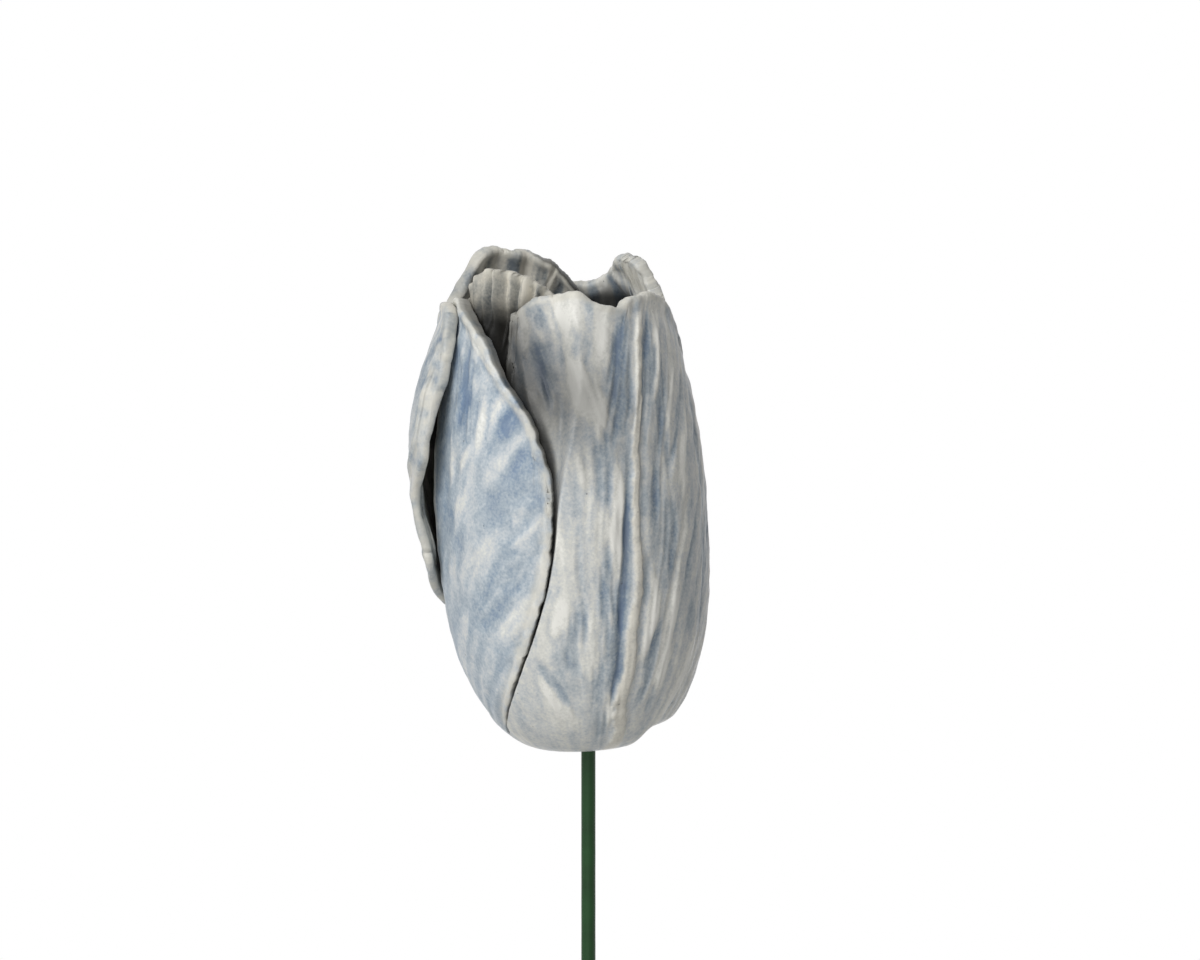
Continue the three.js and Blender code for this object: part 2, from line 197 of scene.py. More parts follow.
PETALS = {
    "outer_petal_front_left": petal(
        layer=0, foot=0, tip=64.3, midrib=(-107, -85, 1),
        left=margin(-132, -131, 40, crown=1.1, round=0.45),
        right=margin(-95, -7.3, 40, begin=0.1, ease=0.52, crown=1.67, round=0.54),
        waves=[(0.85, 0.24, -1.7)]),
    "outer_petal_front_right": petal(
        layer=0, foot=0, tip=64.2, midrib=(20, 52, 4),
        left=margin(-90, -36, 62.2, ease=0.6, crown=3.6),
        right=margin(95, 96, 56, crown=2.5, round=0.8),
        waves=[(-0.58, 0.34, 1.8), (-0.28, 0.14, -1.7)],
        laps=[lap("outer_petal_front_left", "right", UNDER, (0, 2.2))],
        curls=[curl(-1, across=(0.5, 1), rows=(0.6, 0.95), by=-0.7)]),
    "outer_petal_back": petal(
        layer=0, foot=0, tip=68.3, midrib=(134, 128, 1),
        left=margin(101, 105, 56, crown=1.8, round=0.45),
        right=margin(194, 189, 54, crown=4),
        waves=[(0.68, 0.5, -4.2), (0.84, 0.2, 1.3)],
        curls=[curl(0, across=(0.15, 0.45), rows=(0.9, 1), by=-0.8)]),
    "inner_petal_back_left": petal(
        layer=0, foot=0, tip=69.5, midrib=(-148, -138, 1),
        left=margin(-158, -204, 52, crown=3.2, round=0.55),
        right=margin(-133.5, -77, 57, begin=0.3, end=0.57, ease=2.4, crown=2.5, round=0.5,
                     lobe=(0.69, 0.8, 12)),
        waves=[(0.53, 0.28, -5.7), (0.5, 0.09, -1.4), (0.7, 0.12, 1.5)],
        laps=[lap("outer_petal_back", "right", UNDER, (0, 2.2)),
              lap("outer_petal_front_left", "left", OVER, (2, 7.5))],
        curls=[curl(1, across=(0.1, 0.85), rows=(0.44, 0.74), by=2.4, fade=(0.78, 1.0)),
               curl(-1, across=(-0.5, 0), rows=(0.86, 1), by=-1.2)]),
    "inner_petal_right": petal(
        layer=1, foot=HEEL_HEIGHT + 2 * PETAL_GAP, tip=62.5, midrib=(88, 97, 1),
        left=margin(56, 46, 46, crown=2),
        right=margin(122, 136, 46, crown=2)),
    "inner_petal_front": petal(
        layer=1, foot=BASE_RIM_HEIGHT + 2 * PETAL_GAP, tip=69.2, midrib=(-36, -44, 1),
        left=margin(-66, -104, 55, crown=3.2, round=0.6),
        right=margin(-8, 9, 62, crown=1.5, round=0.52),
        laps=[lap("outer_petal_front_right", "left", UNDER, (0, 2.2))],
        curls=[curl(1, across=(-0.3, 0.3), rows=(0.5, 0.9), by=-1.4)]),
}
print(len(PETALS), "petals described")

# %% Where a petal lies on the barrel
FOOT_BEND = 4.0


def climb_share(v):
    """Share of a petal's height at row v: v squared over a line in v.

    It starts level, as the petals start flat on the underside.
    """
    return (1 + FOOT_BEND) * v * v / (1 + FOOT_BEND * v)


def row_at(share):
    """The row at which a share of the height is reached: the inverse of climb_share."""
    held = np.clip(share, 0, 1)
    b = FOOT_BEND * held
    return (b + np.sqrt(b * b + 4 * (1 + FOOT_BEND) * held)) / (2 * (1 + FOOT_BEND))


def margin_angle(edge, v):
    """Angle of a margin at row v: a quarter sine wave from foot to full angle, plus its lobe."""
    share = np.clip((v - edge["begin"]) / (edge["end"] - edge["begin"]), 0, 1)
    swing = np.sin(share * math.pi / 2) ** edge["ease"]
    first, last, by = edge["lobe"]
    return mix(edge["foot"], edge["full"], swing) + by * smooth(v, first, last)


def midrib_angle(form, v):
    """Angle of the midrib at row v: from its foot to its tip with a power of the row."""
    foot, tip, bend = form["midrib"]
    return mix(foot, tip, v**bend)


def petal_place(form, u, v):
    """Angle and height at (u, v): u is -1 and 1 on the margins and 0 on the midrib, v is 0 on the foot
    and 1 on the crown. The crown is a superellipse from shoulder to tip, plus its lobes and notches."""
    rib = midrib_angle(form, v)
    across = np.abs(u)
    angles, tops = [], []
    for side in ("left", "right"):
        edge = form[side]
        angles.append(mix(rib, margin_angle(edge, v), across))
        tops.append(mix(edge["shoulder"], form["tip"], (1 - across ** edge["crown"]) ** edge["round"]))
    angle = np.where(u < 0, *angles)
    top = np.where(u < 0, *tops)
    for at, reach, rise in form["waves"]:
        top = top + rise * np.exp(-(((u - at) / reach) ** 4))
    return angle, mix(form["foot"], top, climb_share(v))


for name, form in PETALS.items():
    print(name, "has its tip at", round(float(petal_place(form, np.zeros(1), np.ones(1))[1][0]), 1), "mm")

# %% Laps, curls and thickness
LAYER = PETAL_THICKNESS + PETAL_GAP
BASE_DEPTH = 2 * LAYER
LAP_BLEND = 12.0
LAP_CLEAR = 5.0
TUCK_BLEND = 1.8
TUCK_CLEAR = 0.5
TUCK_OPENS = (34, 56)
EDGE_THINNING = 0.15
SIDE_BAND = 0.2
CROWN_BAND = 0.1
HEEL_ACROSS = (0.3, 0.7)


def wrapped(angle):
    """The same direction in degrees from -180 to 180."""
    return (angle + 180) % 360 - 180


def past_margin(passing, angle, height):
    """Degrees by which points lie inside the neighbour's margin that a lap names (below 0: outside it)."""
    other = PETALS[passing["neighbour"]]
    edge = other[passing["side"]]
    share = (height - other["foot"]) / (edge["shoulder"] - other["foot"])
    past = wrapped(margin_angle(edge, row_at(share)) - angle)
    return past if passing["side"] == "right" else -past


def lap_depth(passing, angle, height):
    """Depth that a lap adds: one layer, with an S-curve over the degrees to the neighbour's margin.

    A tuck under a neighbour is tight low on the flower and opens higher up.
    """
    open_up = smooth(height, *TUCK_OPENS) if passing["climb"] == UNDER else 1
    clear = mix(TUCK_CLEAR, LAP_CLEAR, open_up)
    blend = mix(TUCK_BLEND, LAP_BLEND, open_up)
    covered = smooth((past_margin(passing, angle, height) + clear) / blend, -1, 0)
    return passing["climb"] * LAYER * covered * smooth(height, *passing["heights"])


def curl_depth(bend, u, v):
    """Depth that a curl adds: an S-curve across the petal times an S-curve over its rows."""
    along = np.abs(u) if bend["side"] == 0 else bend["side"] * u
    across = smooth(along, *bend["across"])
    across = 1 - across if bend["side"] == 0 else across
    fade = 1 - smooth(v, *bend["fade"]) if bend["fade"] else 1
    return bend["by"] * across * smooth(v, *bend["rows"]) * fade


def face_depths(form, u, v):
    """Depths of a petal's outer and inner face, before any relief.

    The outer face lies at its layer, plus the laps and the curled edges. The inner face is one
    thickness below, thinner towards the margins, with a thick heel at the foot.
    """
    angle, height = petal_place(form, u, v)
    outer = np.full(np.shape(u), -form["layer"] * LAYER, float)
    for passing in form["laps"]:
        outer = outer + lap_depth(passing, angle, height)
    for bend in form["curls"]:
        outer = outer + curl_depth(bend, u, v)
    across = np.abs(u)
    to_edge = np.maximum(smooth(across, 1 - SIDE_BAND, 1), smooth(v, 1 - CROWN_BAND, 1))
    inner = outer - PETAL_THICKNESS * (1 - EDGE_THINNING * to_edge)
    heel = (1 - smooth(height, 0, HEEL_HEIGHT)) * (1 - smooth(across, *HEEL_ACROSS))
    return outer, mix(inner, PETAL_GAP - BASE_DEPTH, heel)


print("petals", PETAL_THICKNESS, "mm thick in layers of", LAYER, "mm")

# %% [markdown]
# ## Veins and streaks
#
# Brushed glaze follows the veins of the petal: they leave the foot close together, run along the midrib
# and fan out to the margins. The streaks could come from a stretched noise texture in the material, but
# then they would run straight up. So the veins get their own coordinate on the surface, and a noise that
# is worked out on that coordinate gives both the relief and the colour, and the two agree: blue glaze
# pools in the grooves and the ridges stay cream.

# %% Noise
HASH_STEPS = (127.1, 311.7, 74.7)
HASH_SCALE = 43758.5453
NOISE_GAIN = 0.85
MIDDLE = 0.5


def lattice(i, j, seed):
    """A fixed pseudo-random number from 0 to 1 for each whole-numbered point: the tail of a large sine."""
    per_i, per_j, per_seed = HASH_STEPS
    return (np.sin(i * per_i + j * per_j + seed * per_seed) * HASH_SCALE) % 1.0


def noise(x, y, seed):
    """Gradient noise, about 0 to 1: each lattice point tilts its surroundings in a direction of its own,
    and the four tilts around (x, y) are blended smoothly."""
    i, j = np.floor(x), np.floor(y)
    corners = []
    for across, up in ((0, 0), (1, 0), (0, 1), (1, 1)):
        turn = 2 * math.pi * lattice(i + across, j + up, seed)
        corners.append(np.cos(turn) * (x - i - across) + np.sin(turn) * (y - j - up))
    fx, fy = smooth(x - i, 0, 1), smooth(y - j, 0, 1)
    value = mix(mix(corners[0], corners[1], fx), mix(corners[2], corners[3], fx), fy)
    return np.clip(MIDDLE + NOISE_GAIN * value, 0, 1)


def line_noise(x, seed):
    """Noise along a line: a cut through the noise at half a cell."""
    return noise(x, np.full(np.shape(x), MIDDLE), seed)


sample = line_noise(np.linspace(0, 50, 500), 1)
print("noise from", sample.min().round(2), "to", sample.max().round(2))

# %% Streaks along the veins
STREAK_RANKS = ((3, 34), (6, 26), (13, 18), (26, 12))
SWAY = 1.6
SWAY_COUNT = 0.25
SWAY_HEIGHT = 1.5
SWAY_CLIMB = 2.3
SWAY_SEED = 40
SHOWN_WIDTH = (0.6, 1.5)


def vein_place(form, fan, u, v):
    """Vein coordinate at (u, v), and the millimetres that one unit of it spans.

    A vein keeps its coordinate u / width, where the width of the fan (start, power) grows with a power
    of the row, so veins bunch at the foot and spread to the margins.
    """
    start, power = fan
    width = start + (1 - start) * v**power
    edge_angle = np.where(u < 0, margin_angle(form["left"], v), margin_angle(form["right"], v))
    half = np.radians(np.abs(edge_angle - midrib_angle(form, v))) * FLOWER_RADIUS
    return u / width, width * half


def streaks(form, fan, u, v, height, seed):
    """Four ranks of noise along the veins, each from 0 to 1: broad, ribs, fine and bristles.

    A rank is (veins in half a petal, length in mm). It fades to its middle value where its veins get
    closer than the mesh can show.
    """
    vein, spread = vein_place(form, fan, u, v)
    ranks = []
    for rank, (count, length) in enumerate(STREAK_RANKS):
        sway = SWAY * noise(vein * count * SWAY_COUNT, height / length * SWAY_HEIGHT, seed + SWAY_SEED + rank)
        value = noise(vein * count + sway, height / length + SWAY_CLIMB * sway, seed + rank)
        clear = smooth(spread / count, *SHOWN_WIDTH)
        ranks.append(mix(MIDDLE, value, clear))
    return ranks


print(len(STREAK_RANKS), "ranks of streaks, the longest", STREAK_RANKS[0][1], "mm")

# %% [markdown]
# ## The grid of a petal
#
# The margins of the real petals are torn and uneven, and their edges are rounded by the glaze. Each face
# of a petal is a fine grid, with more points at the midrib, the margins and the crown, where the forms are
# smallest. A Displace modifier along the normals would make the faces uneven and leave the outline as it
# is. So the angle and the height of the points near the edge are changed, and the outline is ragged.

# %% Torn outline
RIM_ROUND = 0.6
RAGGED = 0.5
WAVES_ACROSS = 9
WAVES_PER_MM = 0.35
TEAR_PITCHES = ((1, 0.1), (4.1, 0.9), (1.7, 0.55))
SLOW_SHARE = 0.45
NICK_SHARE = 0.35
BITE_SHARE = 0.8
BITE_STARTS = (0.78, 0.95)
CREST_ROUND = 0.25


def ragged_edge(u, height, seed):
    """How far a margin stands back from its outline, in mm: slow waves, small nicks and a few bites."""
    along = u * WAVES_ACROSS + height * WAVES_PER_MM
    slow, nick, bite = [noise(along * pitch, height * climb, seed + number)
                        for number, (pitch, climb) in enumerate(TEAR_PITCHES)]
    return RAGGED * (SLOW_SHARE * slow + NICK_SHARE * nick + BITE_SHARE * smooth(bite, *BITE_STARTS))


def soft_size(x):
    """The size of x without its sign, with the corner at 0 rounded off."""
    return np.sqrt(x * x + CREST_ROUND**2) - CREST_ROUND


def outline_distance(angle, height):
    """Millimetres from each point to the left margin, the right margin and the crown.

    Along a row to its two ends, and up a column to its top, times the cosine of the crown's slope.
    """
    across = np.radians(angle) * barrel(height)[0]
    slope = np.gradient(height[-1]) / np.gradient(across[-1])
    crown = (height[-1] - height) / np.hypot(1, slope)
    return across - across[:, :1], across[:, -1:] - across, crown


most_torn = RIM_ROUND + RAGGED * (SLOW_SHARE + NICK_SHARE + BITE_SHARE)
print("margins stand back by up to", round(most_torn, 2), "mm")

# %% Grid points
OUTER, INNER = 0, 1
COLUMNS = 270
ROWS = 160
COLUMN_GATHER = 0.4
ROW_GATHER = 1.15
HEEL_FADE = (1, 6)
NOTCH_DEPTH = 0.25
CROWN_BACK = 0.1
SIDE_MOVED = (0.85, 1)
CROWN_MOVED = (0.9, 1)
CORNER_KEPT = (0.97, 1)
NEAR_CROWN = 9.0
FACE_SEED = 10
TORN_SEED = 60


def petal_sheet(form, fan, seed):
    """The grid of one petal with its torn outline, and what is known at each of its points.

    Columns gather at the midrib and at the margins by a sine wave, and rows at the crown by a power.
    Near the edge, points are moved inwards by the rim's round, the tear and notches between the ribs.
    """
    t = np.linspace(-1, 1, COLUMNS + 1)
    s = np.linspace(0, 1, ROWS + 1)
    gathered = t - COLUMN_GATHER * np.sin(2 * math.pi * t) / (2 * math.pi)
    u, v = np.meshgrid(gathered, 1 - (1 - s) ** ROW_GATHER)
    angle, height = petal_place(form, u, v)
    radius = barrel(height)[0]
    above_heel = smooth(height, form["foot"] + HEEL_FADE[0], form["foot"] + HEEL_FADE[1])
    ranks = [streaks(form, fan, u, v, height, seed + FACE_SEED * face) for face in (OUTER, INNER)]

    across = np.abs(u)
    back = (RIM_ROUND + ragged_edge(u, height, seed + TORN_SEED)) * above_heel
    notched = NOTCH_DEPTH * soft_size(2 * ranks[INNER][1] - 1)
    angle = angle - np.sign(u) * np.degrees(back / radius) * smooth(across, *SIDE_MOVED)
    lowered = (back + notched + CROWN_BACK) * smooth(v, *CROWN_MOVED)
    height = height - lowered * (1 - smooth(across, *CORNER_KEPT))

    to_left, to_right, to_crown = outline_distance(angle, height)
    return SimpleNamespace(
        u=u, v=v, angle=angle, height=height, radius=radius, above_heel=above_heel, ranks=ranks,
        to_left=to_left, to_right=to_right, to_crown=to_crown,
        to_rim=np.minimum(np.minimum(to_left, to_right), to_crown),
        near_crown=1 - smooth(to_crown, 0, NEAR_CROWN))


print((COLUMNS + 1) * (ROWS + 1), "points on each face of a petal")

# %% [markdown]
# ## Relief
#
# The clay was pressed with veins and ribs, the crowns have a thick bead, and three petals have a raised
# midrib. The front inner petal is gathered in folds. A bump in the material would show most of this, but
# not at the silhouette, so the relief moves the points of the two faces. In most places it is a fraction
# of a millimetre, because neighbours lie close together.

# %% What is pressed into each petal
FRONT_RIDGE = [(21, 0), (20, 8), (24, 16), (27, 23), (28, 35), (29, 40), (33, 47), (39, 53), (48, 62),
               (52, 66)]


def pressing(**choices):
    """What is pressed into a petal.

    fan is (start, power) of its veins, and ribs are the strengths of its ribs outside and inside. rib is
    the strength of a raised midrib, and ridge its path in (angle, height) where that isn't the middle
    line. folds is the (angle, height) that folds spread from. lip and feather are mm by which the right
    margin stands out above and is thinned below, and square makes the rim squarer the smaller it is.
    undercut and bulge are mm by which the underside is set in and the left flank stands out.
    """
    usual = dict(fan=(0.3, 1.5), ribs=(1.0, 1.8), rib=0.0, ridge=None, folds=None, lip=0.0, feather=0.0,
                 square=0.8, undercut=0.0, bulge=0.0)
    return usual | choices


RELIEFS = {
    "outer_petal_front_left": pressing(fan=(0.4, 1.3), lip=0.35, feather=0.25, square=0.4, bulge=0.5),
    "outer_petal_front_right": pressing(fan=(0.2, 2.2), rib=1.0, ridge=FRONT_RIDGE, undercut=1.2),
    "outer_petal_back": pressing(rib=1.0, undercut=1.2),
    "inner_petal_back_left": pressing(rib=1.0, ribs=(1.0, 1.1)),
    "inner_petal_right": pressing(),
    "inner_petal_front": pressing(ribs=(1.2, 2.0), folds=(-46, 54)),
}
print(sum(relief["rib"] > 0 for relief in RELIEFS.values()), "petals have a raised midrib")

# %% Ribs, bead and margins
BROAD_RELIEF = 0.3
RIB_RELIEF = 0.22
FINE_RELIEF = 0.06
LUMP_RELIEF = 0.16
RELIEF_LIFT = 0.3
LUMPS_PER_DEGREE = 0.13
LUMP_HEIGHT = 2.3
LUMP_SEED = 5
BEAD_WIDTH = 1.7
BEAD_OUT = 0.3
LIP_WIDTH = 1.2
FEATHER_WIDTH = 1.2
LIP_STARTS = (30, 48)


def pressed_relief(sheet, relief, face, seed):
    """How far a face stands out from its smooth depth, in mm: a bead along the crown, less the grooves.

    Grooves are a weighted sum of the broad streaks, the rounded size of the ribs, fine lines and lumps.
    """
    broad, ribs, fine, _ = sheet.ranks[face]
    lumps = noise(sheet.angle * LUMPS_PER_DEGREE, sheet.height / LUMP_HEIGHT, seed + LUMP_SEED + face)
    strength = relief["ribs"][face] * (1 + sheet.near_crown)
    groove = (BROAD_RELIEF * broad + RIB_RELIEF * strength * soft_size(2 * ribs - 1)
              + FINE_RELIEF * fine + LUMP_RELIEF * lumps - RELIEF_LIFT) * sheet.above_heel
    bead = (1 - smooth(sheet.to_crown, 0, BEAD_WIDTH)) * sheet.above_heel
    return BEAD_OUT * bead - groove


def margin_lip(sheet, relief):
    """How far the right margin stands out as a lip above, less how far it is feathered below, in mm."""
    to_edge = np.where(sheet.u > 0, np.minimum(sheet.to_right, sheet.to_crown), sheet.to_right)
    upper = smooth(sheet.height, *LIP_STARTS)
    lip = relief["lip"] * upper * (1 - smooth(to_edge, 0, LIP_WIDTH))
    feather = relief["feather"] * (1 - upper) * (1 - smooth(to_edge, 0, FEATHER_WIDTH))
    return lip - feather * sheet.above_heel


print("grooves are about", BROAD_RELIEF + RIB_RELIEF, "mm deep")

# %% Folds, foot and flank
FOLD_DEPTH = 1.1
FOLDS_PER_RADIAN = 5.0
FOLD_SWAY_TURNS = 3
FOLD_SWAY_LENGTH = 9
FOLD_SEED = 31
FOLD_STARTS = (3, 14)
FOLD_LIFT = 0.5
FOLD_LIFT_HEIGHT = (62, 65)
LEAST_RISE = 0.1
UNDERCUT_FROM = (44, 54)
UNDERCUT_TO = (130, 160)
UNDERCUT_HEIGHT = (1, 4)
FLANK_ANGLE = -92
FLANK_REACH = 20
FLANK_FROM = (6, 14)
FLANK_TO = (42, 52)


def fold_relief(relief, sheet):
    """Depth of folds that spread like a fan from one place: a wave in the direction from that place.

    The crown above them is lifted by a share of their depth.
    """
    if relief["folds"] is None:
        return 0
    from_angle, from_height = relief["folds"]
    across = np.radians(sheet.angle - from_angle) * MOUTH_RADIUS
    up = sheet.height - from_height
    turn = np.arctan2(across, np.maximum(up, LEAST_RISE))
    sway = noise(turn * FOLD_SWAY_TURNS, up / FOLD_SWAY_LENGTH, FOLD_SEED)
    wave = 0.5 - 0.5 * np.cos(2 * math.pi * (FOLDS_PER_RADIAN * turn + sway))
    lift = FOLD_LIFT * smooth(sheet.height, *FOLD_LIFT_HEIGHT)
    return FOLD_DEPTH * (wave * smooth(np.hypot(across, up), *FOLD_STARTS) - lift)


def set_in_foot(sheet):
    """Share by which the underside is set in: between two angles at the right, close to the foot."""
    between = smooth(sheet.angle, *UNDERCUT_FROM) * (1 - smooth(sheet.angle, *UNDERCUT_TO))
    return between * (1 - smooth(sheet.height, *UNDERCUT_HEIGHT))


def full_flank(sheet):
    """Share by which the left flank is fuller: a flat-topped bell curve round it, over the belly."""
    bell = np.exp(-(((sheet.angle - FLANK_ANGLE) / FLANK_REACH) ** 4))
    return bell * smooth(sheet.height, *FLANK_FROM) * (1 - smooth(sheet.height, *FLANK_TO))


print("folds up to", FOLD_DEPTH, "mm deep")

# %% The raised midrib
MIDRIB_HEIGHT = 0.32
MIDRIB_WIDTH = 0.55
RIB_FOOT_WIDTH = 0.95
RIB_NARROWS = (6, 36)
RIB_STARTS = (0.3, 2.5)
RIB_ENDS = (0.93, 0.99)
RIB_FRAY = (0.6, 0.8, 1.1)
RIB_KNOBS = (0.65, 0.7, 1.3)
WANDER = 0.8
WANDER_LENGTH = 5
VALLEY_DEPTH = 0.15
VALLEY_BESIDE = 0.6
VALLEY_WIDTH = 0.6
MIDRIB_SEED = 70


def raised_midrib(form, relief, sheet, seed):
    """Shares of the midrib and of the valleys beside it at each point, and the relief of both in mm.

    The rib is a flat-topped bell curve of the distance to its path, which wanders a little. Its sides are
    frayed and its height is knobbly: (least, spread, length in mm). Each valley is a bell curve.
    """
    path = midrib_angle(form, sheet.v)
    if relief["ridge"]:
        path = np.interp(sheet.height, *np.array(relief["ridge"], float).T[::-1])
    wander = WANDER * (line_noise(sheet.height / WANDER_LENGTH, seed + MIDRIB_SEED) - MIDDLE)
    from_rib = np.radians(sheet.angle - path) * sheet.radius + wander
    half = mix(RIB_FOOT_WIDTH, MIDRIB_WIDTH, smooth(sheet.height, *RIB_NARROWS))
    least, spread, length = RIB_FRAY
    fray = least + spread * noise(sheet.height / length, np.sign(from_rib), seed + MIDRIB_SEED + 1)
    bell = np.exp(-((from_rib / (half * fray)) ** 6))
    rib = relief["rib"] * bell * (1 - smooth(sheet.v, *RIB_ENDS))
    valley = np.exp(-(((np.abs(from_rib) - half - VALLEY_BESIDE) / VALLEY_WIDTH) ** 2))
    least, spread, length = RIB_KNOBS
    knobs = least + spread * line_noise(sheet.height / length, seed + MIDRIB_SEED + 2)
    raised = (MIDRIB_HEIGHT * knobs * rib - VALLEY_DEPTH * valley) * smooth(sheet.height, *RIB_STARTS)
    return rib, valley, raised


print("midribs", 2 * MIDRIB_WIDTH, "mm wide and about", MIDRIB_HEIGHT, "mm high")

# %% [markdown]
# ## Brush strokes and painted shade
#
# On the two front petals single strokes of the brush can be told apart. They could be painted on an image,
# but that would fit one size of picture only. So a stroke is a path on the petal, and the
# marks of the bristles come from noise along it. The hollow of the flower, the creases under the laps and one
# cut edge are nearly black. Light alone leaves them too pale, because a white studio throws light everywhere,
# so shade is painted into the glaze there as well: painted shade in the hollow, in the creases and on the cut
# edge, and a painted shadow where a neighbour's edge stands over a petal.

# %% Strokes on the front petals
# A stroke is its tone, above 0 for blue and below 0 for cream, its half width in mm, and its places.
FRONT_LEFT_STROKES = [
    (0.35, 0.7, (-74, 61), (-70, 59)), (0.2, 1.0, (-70, 58), (-64, 53)),
    (0.38, 1.5, (-53, 59), (-55, 56), (-57, 53), (-55, 49), (-52, 45)),
    (0.18, 1.4, (-15, 47), (-21, 45), (-26, 42), (-29, 40)), (0.16, 1.2, (-27, 49), (-32, 47)),
    (0.16, 1.2, (-30, 36), (-30, 33)), (0.16, 1.0, (-65, 36), (-62, 33)),
    (0.26, 1.5, (-15, 30), (-26, 27), (-37, 23), (-48, 20), (-51, 19)),
    (0.15, 1.0, (-50, 28), (-56, 25)), (0.14, 1.2, (-39, 17), (-44, 13)),
    (-0.34, 1.0, (-60, 60), (-43, 57), (-37, 56), (-31, 53)),
    (-0.22, 1.6, (-37, 54), (-38, 51), (-41, 47), (-41, 43)),
    (-0.25, 0.6, (-64, 46), (-62, 43), (-63, 39)), (-0.22, 0.6, (-47, 45), (-55, 41)),
    (-0.22, 0.8, (-51, 39), (-56, 36), (-62, 32)),
    (-0.18, 1.2, (-36, 33), (-44, 30), (-53, 27), (-60, 24)),
    (-0.2, 0.8, (-12, 32), (-12, 28), (-16, 24)), (-0.24, 1.2, (-19, 24), (-28, 21), (-39, 18)),
    (-0.2, 0.8, (-31, 15), (-42, 9), (-54, 5)), (-0.14, 0.8, (-59, 21), (-65, 17)),
    (-0.18, 1.0, (-11, 36), (-20, 32), (-28, 31)),
    (-0.35, 0.8, (-80, 60), (-84, 50), (-86, 38), (-85, 24)),
]
FRONT_RIGHT_STROKES = [
    (0.5, 1.2, (-19, 59), (-16, 57), (-7, 51)), (0.2, 0.7, (-16, 63), (-11, 61)),
    (0.24, 1.1, (7, 61), (8, 58), (0, 56)), (0.32, 1.6, (37, 61), (30, 55), (26, 49), (20, 45)),
    (0.26, 1.0, (53, 61), (47, 54), (39, 50), (36, 44)), (0.28, 0.8, (56, 55), (48, 49), (48, 39)),
    (0.32, 0.7, (74, 52), (58, 45), (49, 40)), (0.24, 1.2, (16, 46), (15, 40), (12, 36)),
    (0.42, 0.7, (25, 37), (23, 30), (19, 23), (18, 14), (14, 8)),
    (0.26, 1.3, (14, 30), (12, 22), (12, 15), (9, 9), (9, 3)),
    (0.24, 0.9, (-1, 23), (0, 19), (-5, 15), (-2, 13)), (0.24, 0.9, (-21, 15), (-13, 11), (-9, 8)),
    (0.3, 0.8, (39, 19), (34, 13), (29, 7)), (0.24, 0.7, (39, 10), (36, 6)),
    (0.2, 0.8, (60, 21), (60, 16)), (0.22, 0.8, (48, 36), (48, 30), (44, 20)),
    (0.2, 1.0, (40, 40), (36, 33)), (-0.3, 1.3, (2, 57), (8, 53), (15, 49), (15, 45)),
    (-0.14, 1.2, (-20, 63), (-8, 59)), (-0.1, 1.3, (15, 63), (22, 60), (22, 55)),
    (-0.32, 0.5, (60, 61), (52, 54), (46, 50)), (-0.32, 0.35, (65, 53), (56, 49), (50, 45)),
    (-0.26, 0.6, (68, 47), (59, 41), (56, 35)), (-0.24, 0.8, (3, 44), (6, 39)),
    (-0.32, 0.7, (21, 42), (22, 38), (18, 33), (20, 29), (19, 25)),
    (-0.3, 0.8, (35, 27), (36, 22), (33, 18), (28, 14)),
    (-0.3, 0.8, (51, 27), (47, 23), (45, 17), (41, 12), (37, 8)),
    (-0.22, 0.9, (66, 16), (58, 10), (49, 4)), (-0.24, 1.2, (6, 21), (4, 16), (4, 12)),
    (-0.24, 1.2, (-7, 24), (-10, 18)), (-0.24, 0.6, (12, 10), (14, 5)),
    (-0.24, 1.4, (-20, 12), (-6, 4)), (0.24, 1.0, (80, 50), (76, 38), (73, 25), (67, 15)),
    (0.24, 0.9, (88, 46), (85, 34), (81, 22)), (0.16, 1.2, (64, 36), (62, 28), (58, 20)),
]
print(len(FRONT_LEFT_STROKES) + len(FRONT_RIGHT_STROKES), "brush strokes")

# %% How a stroke marks the glaze
STROKE_REACH = 1.25
STROKE_TAPER = 0.6
STROKE_SEED = 77
HAIRS_PER_MM = 1.3
HAIR_LENGTH = 5
HAIR_SHARE = 0.75
VEIN_SHARE = 0.25
LEAST_WIDTH = 0.3
WIDTH_PER_FRAY = 1.4
LEAST_TONE = 0.4
TONE_PER_FRAY = 1.2
STROKE_ENDS = (-0.2, 0.2)


def stroke_course(ends, x, y):
    """Distance in mm to a path of straight pieces, and how far along it the nearest place is, 0 to 1.

    Each piece gives the distance to its nearest point, and the least of these counts.
    """
    nearest = np.full(x.shape, np.inf)
    along = np.zeros(x.shape)
    for order, (start, end) in enumerate(zip(ends[:-1], ends[1:])):
        dx, dy = end - start
        share = np.clip(((x - start[0]) * dx + (y - start[1]) * dy) / (dx * dx + dy * dy), 0, 1)
        distance = np.hypot(x - start[0] - share * dx, y - start[1] - share * dy)
        along = np.where(distance < nearest, (order + share) / (len(ends) - 1), along)
        nearest = np.minimum(nearest, distance)
    return nearest, along


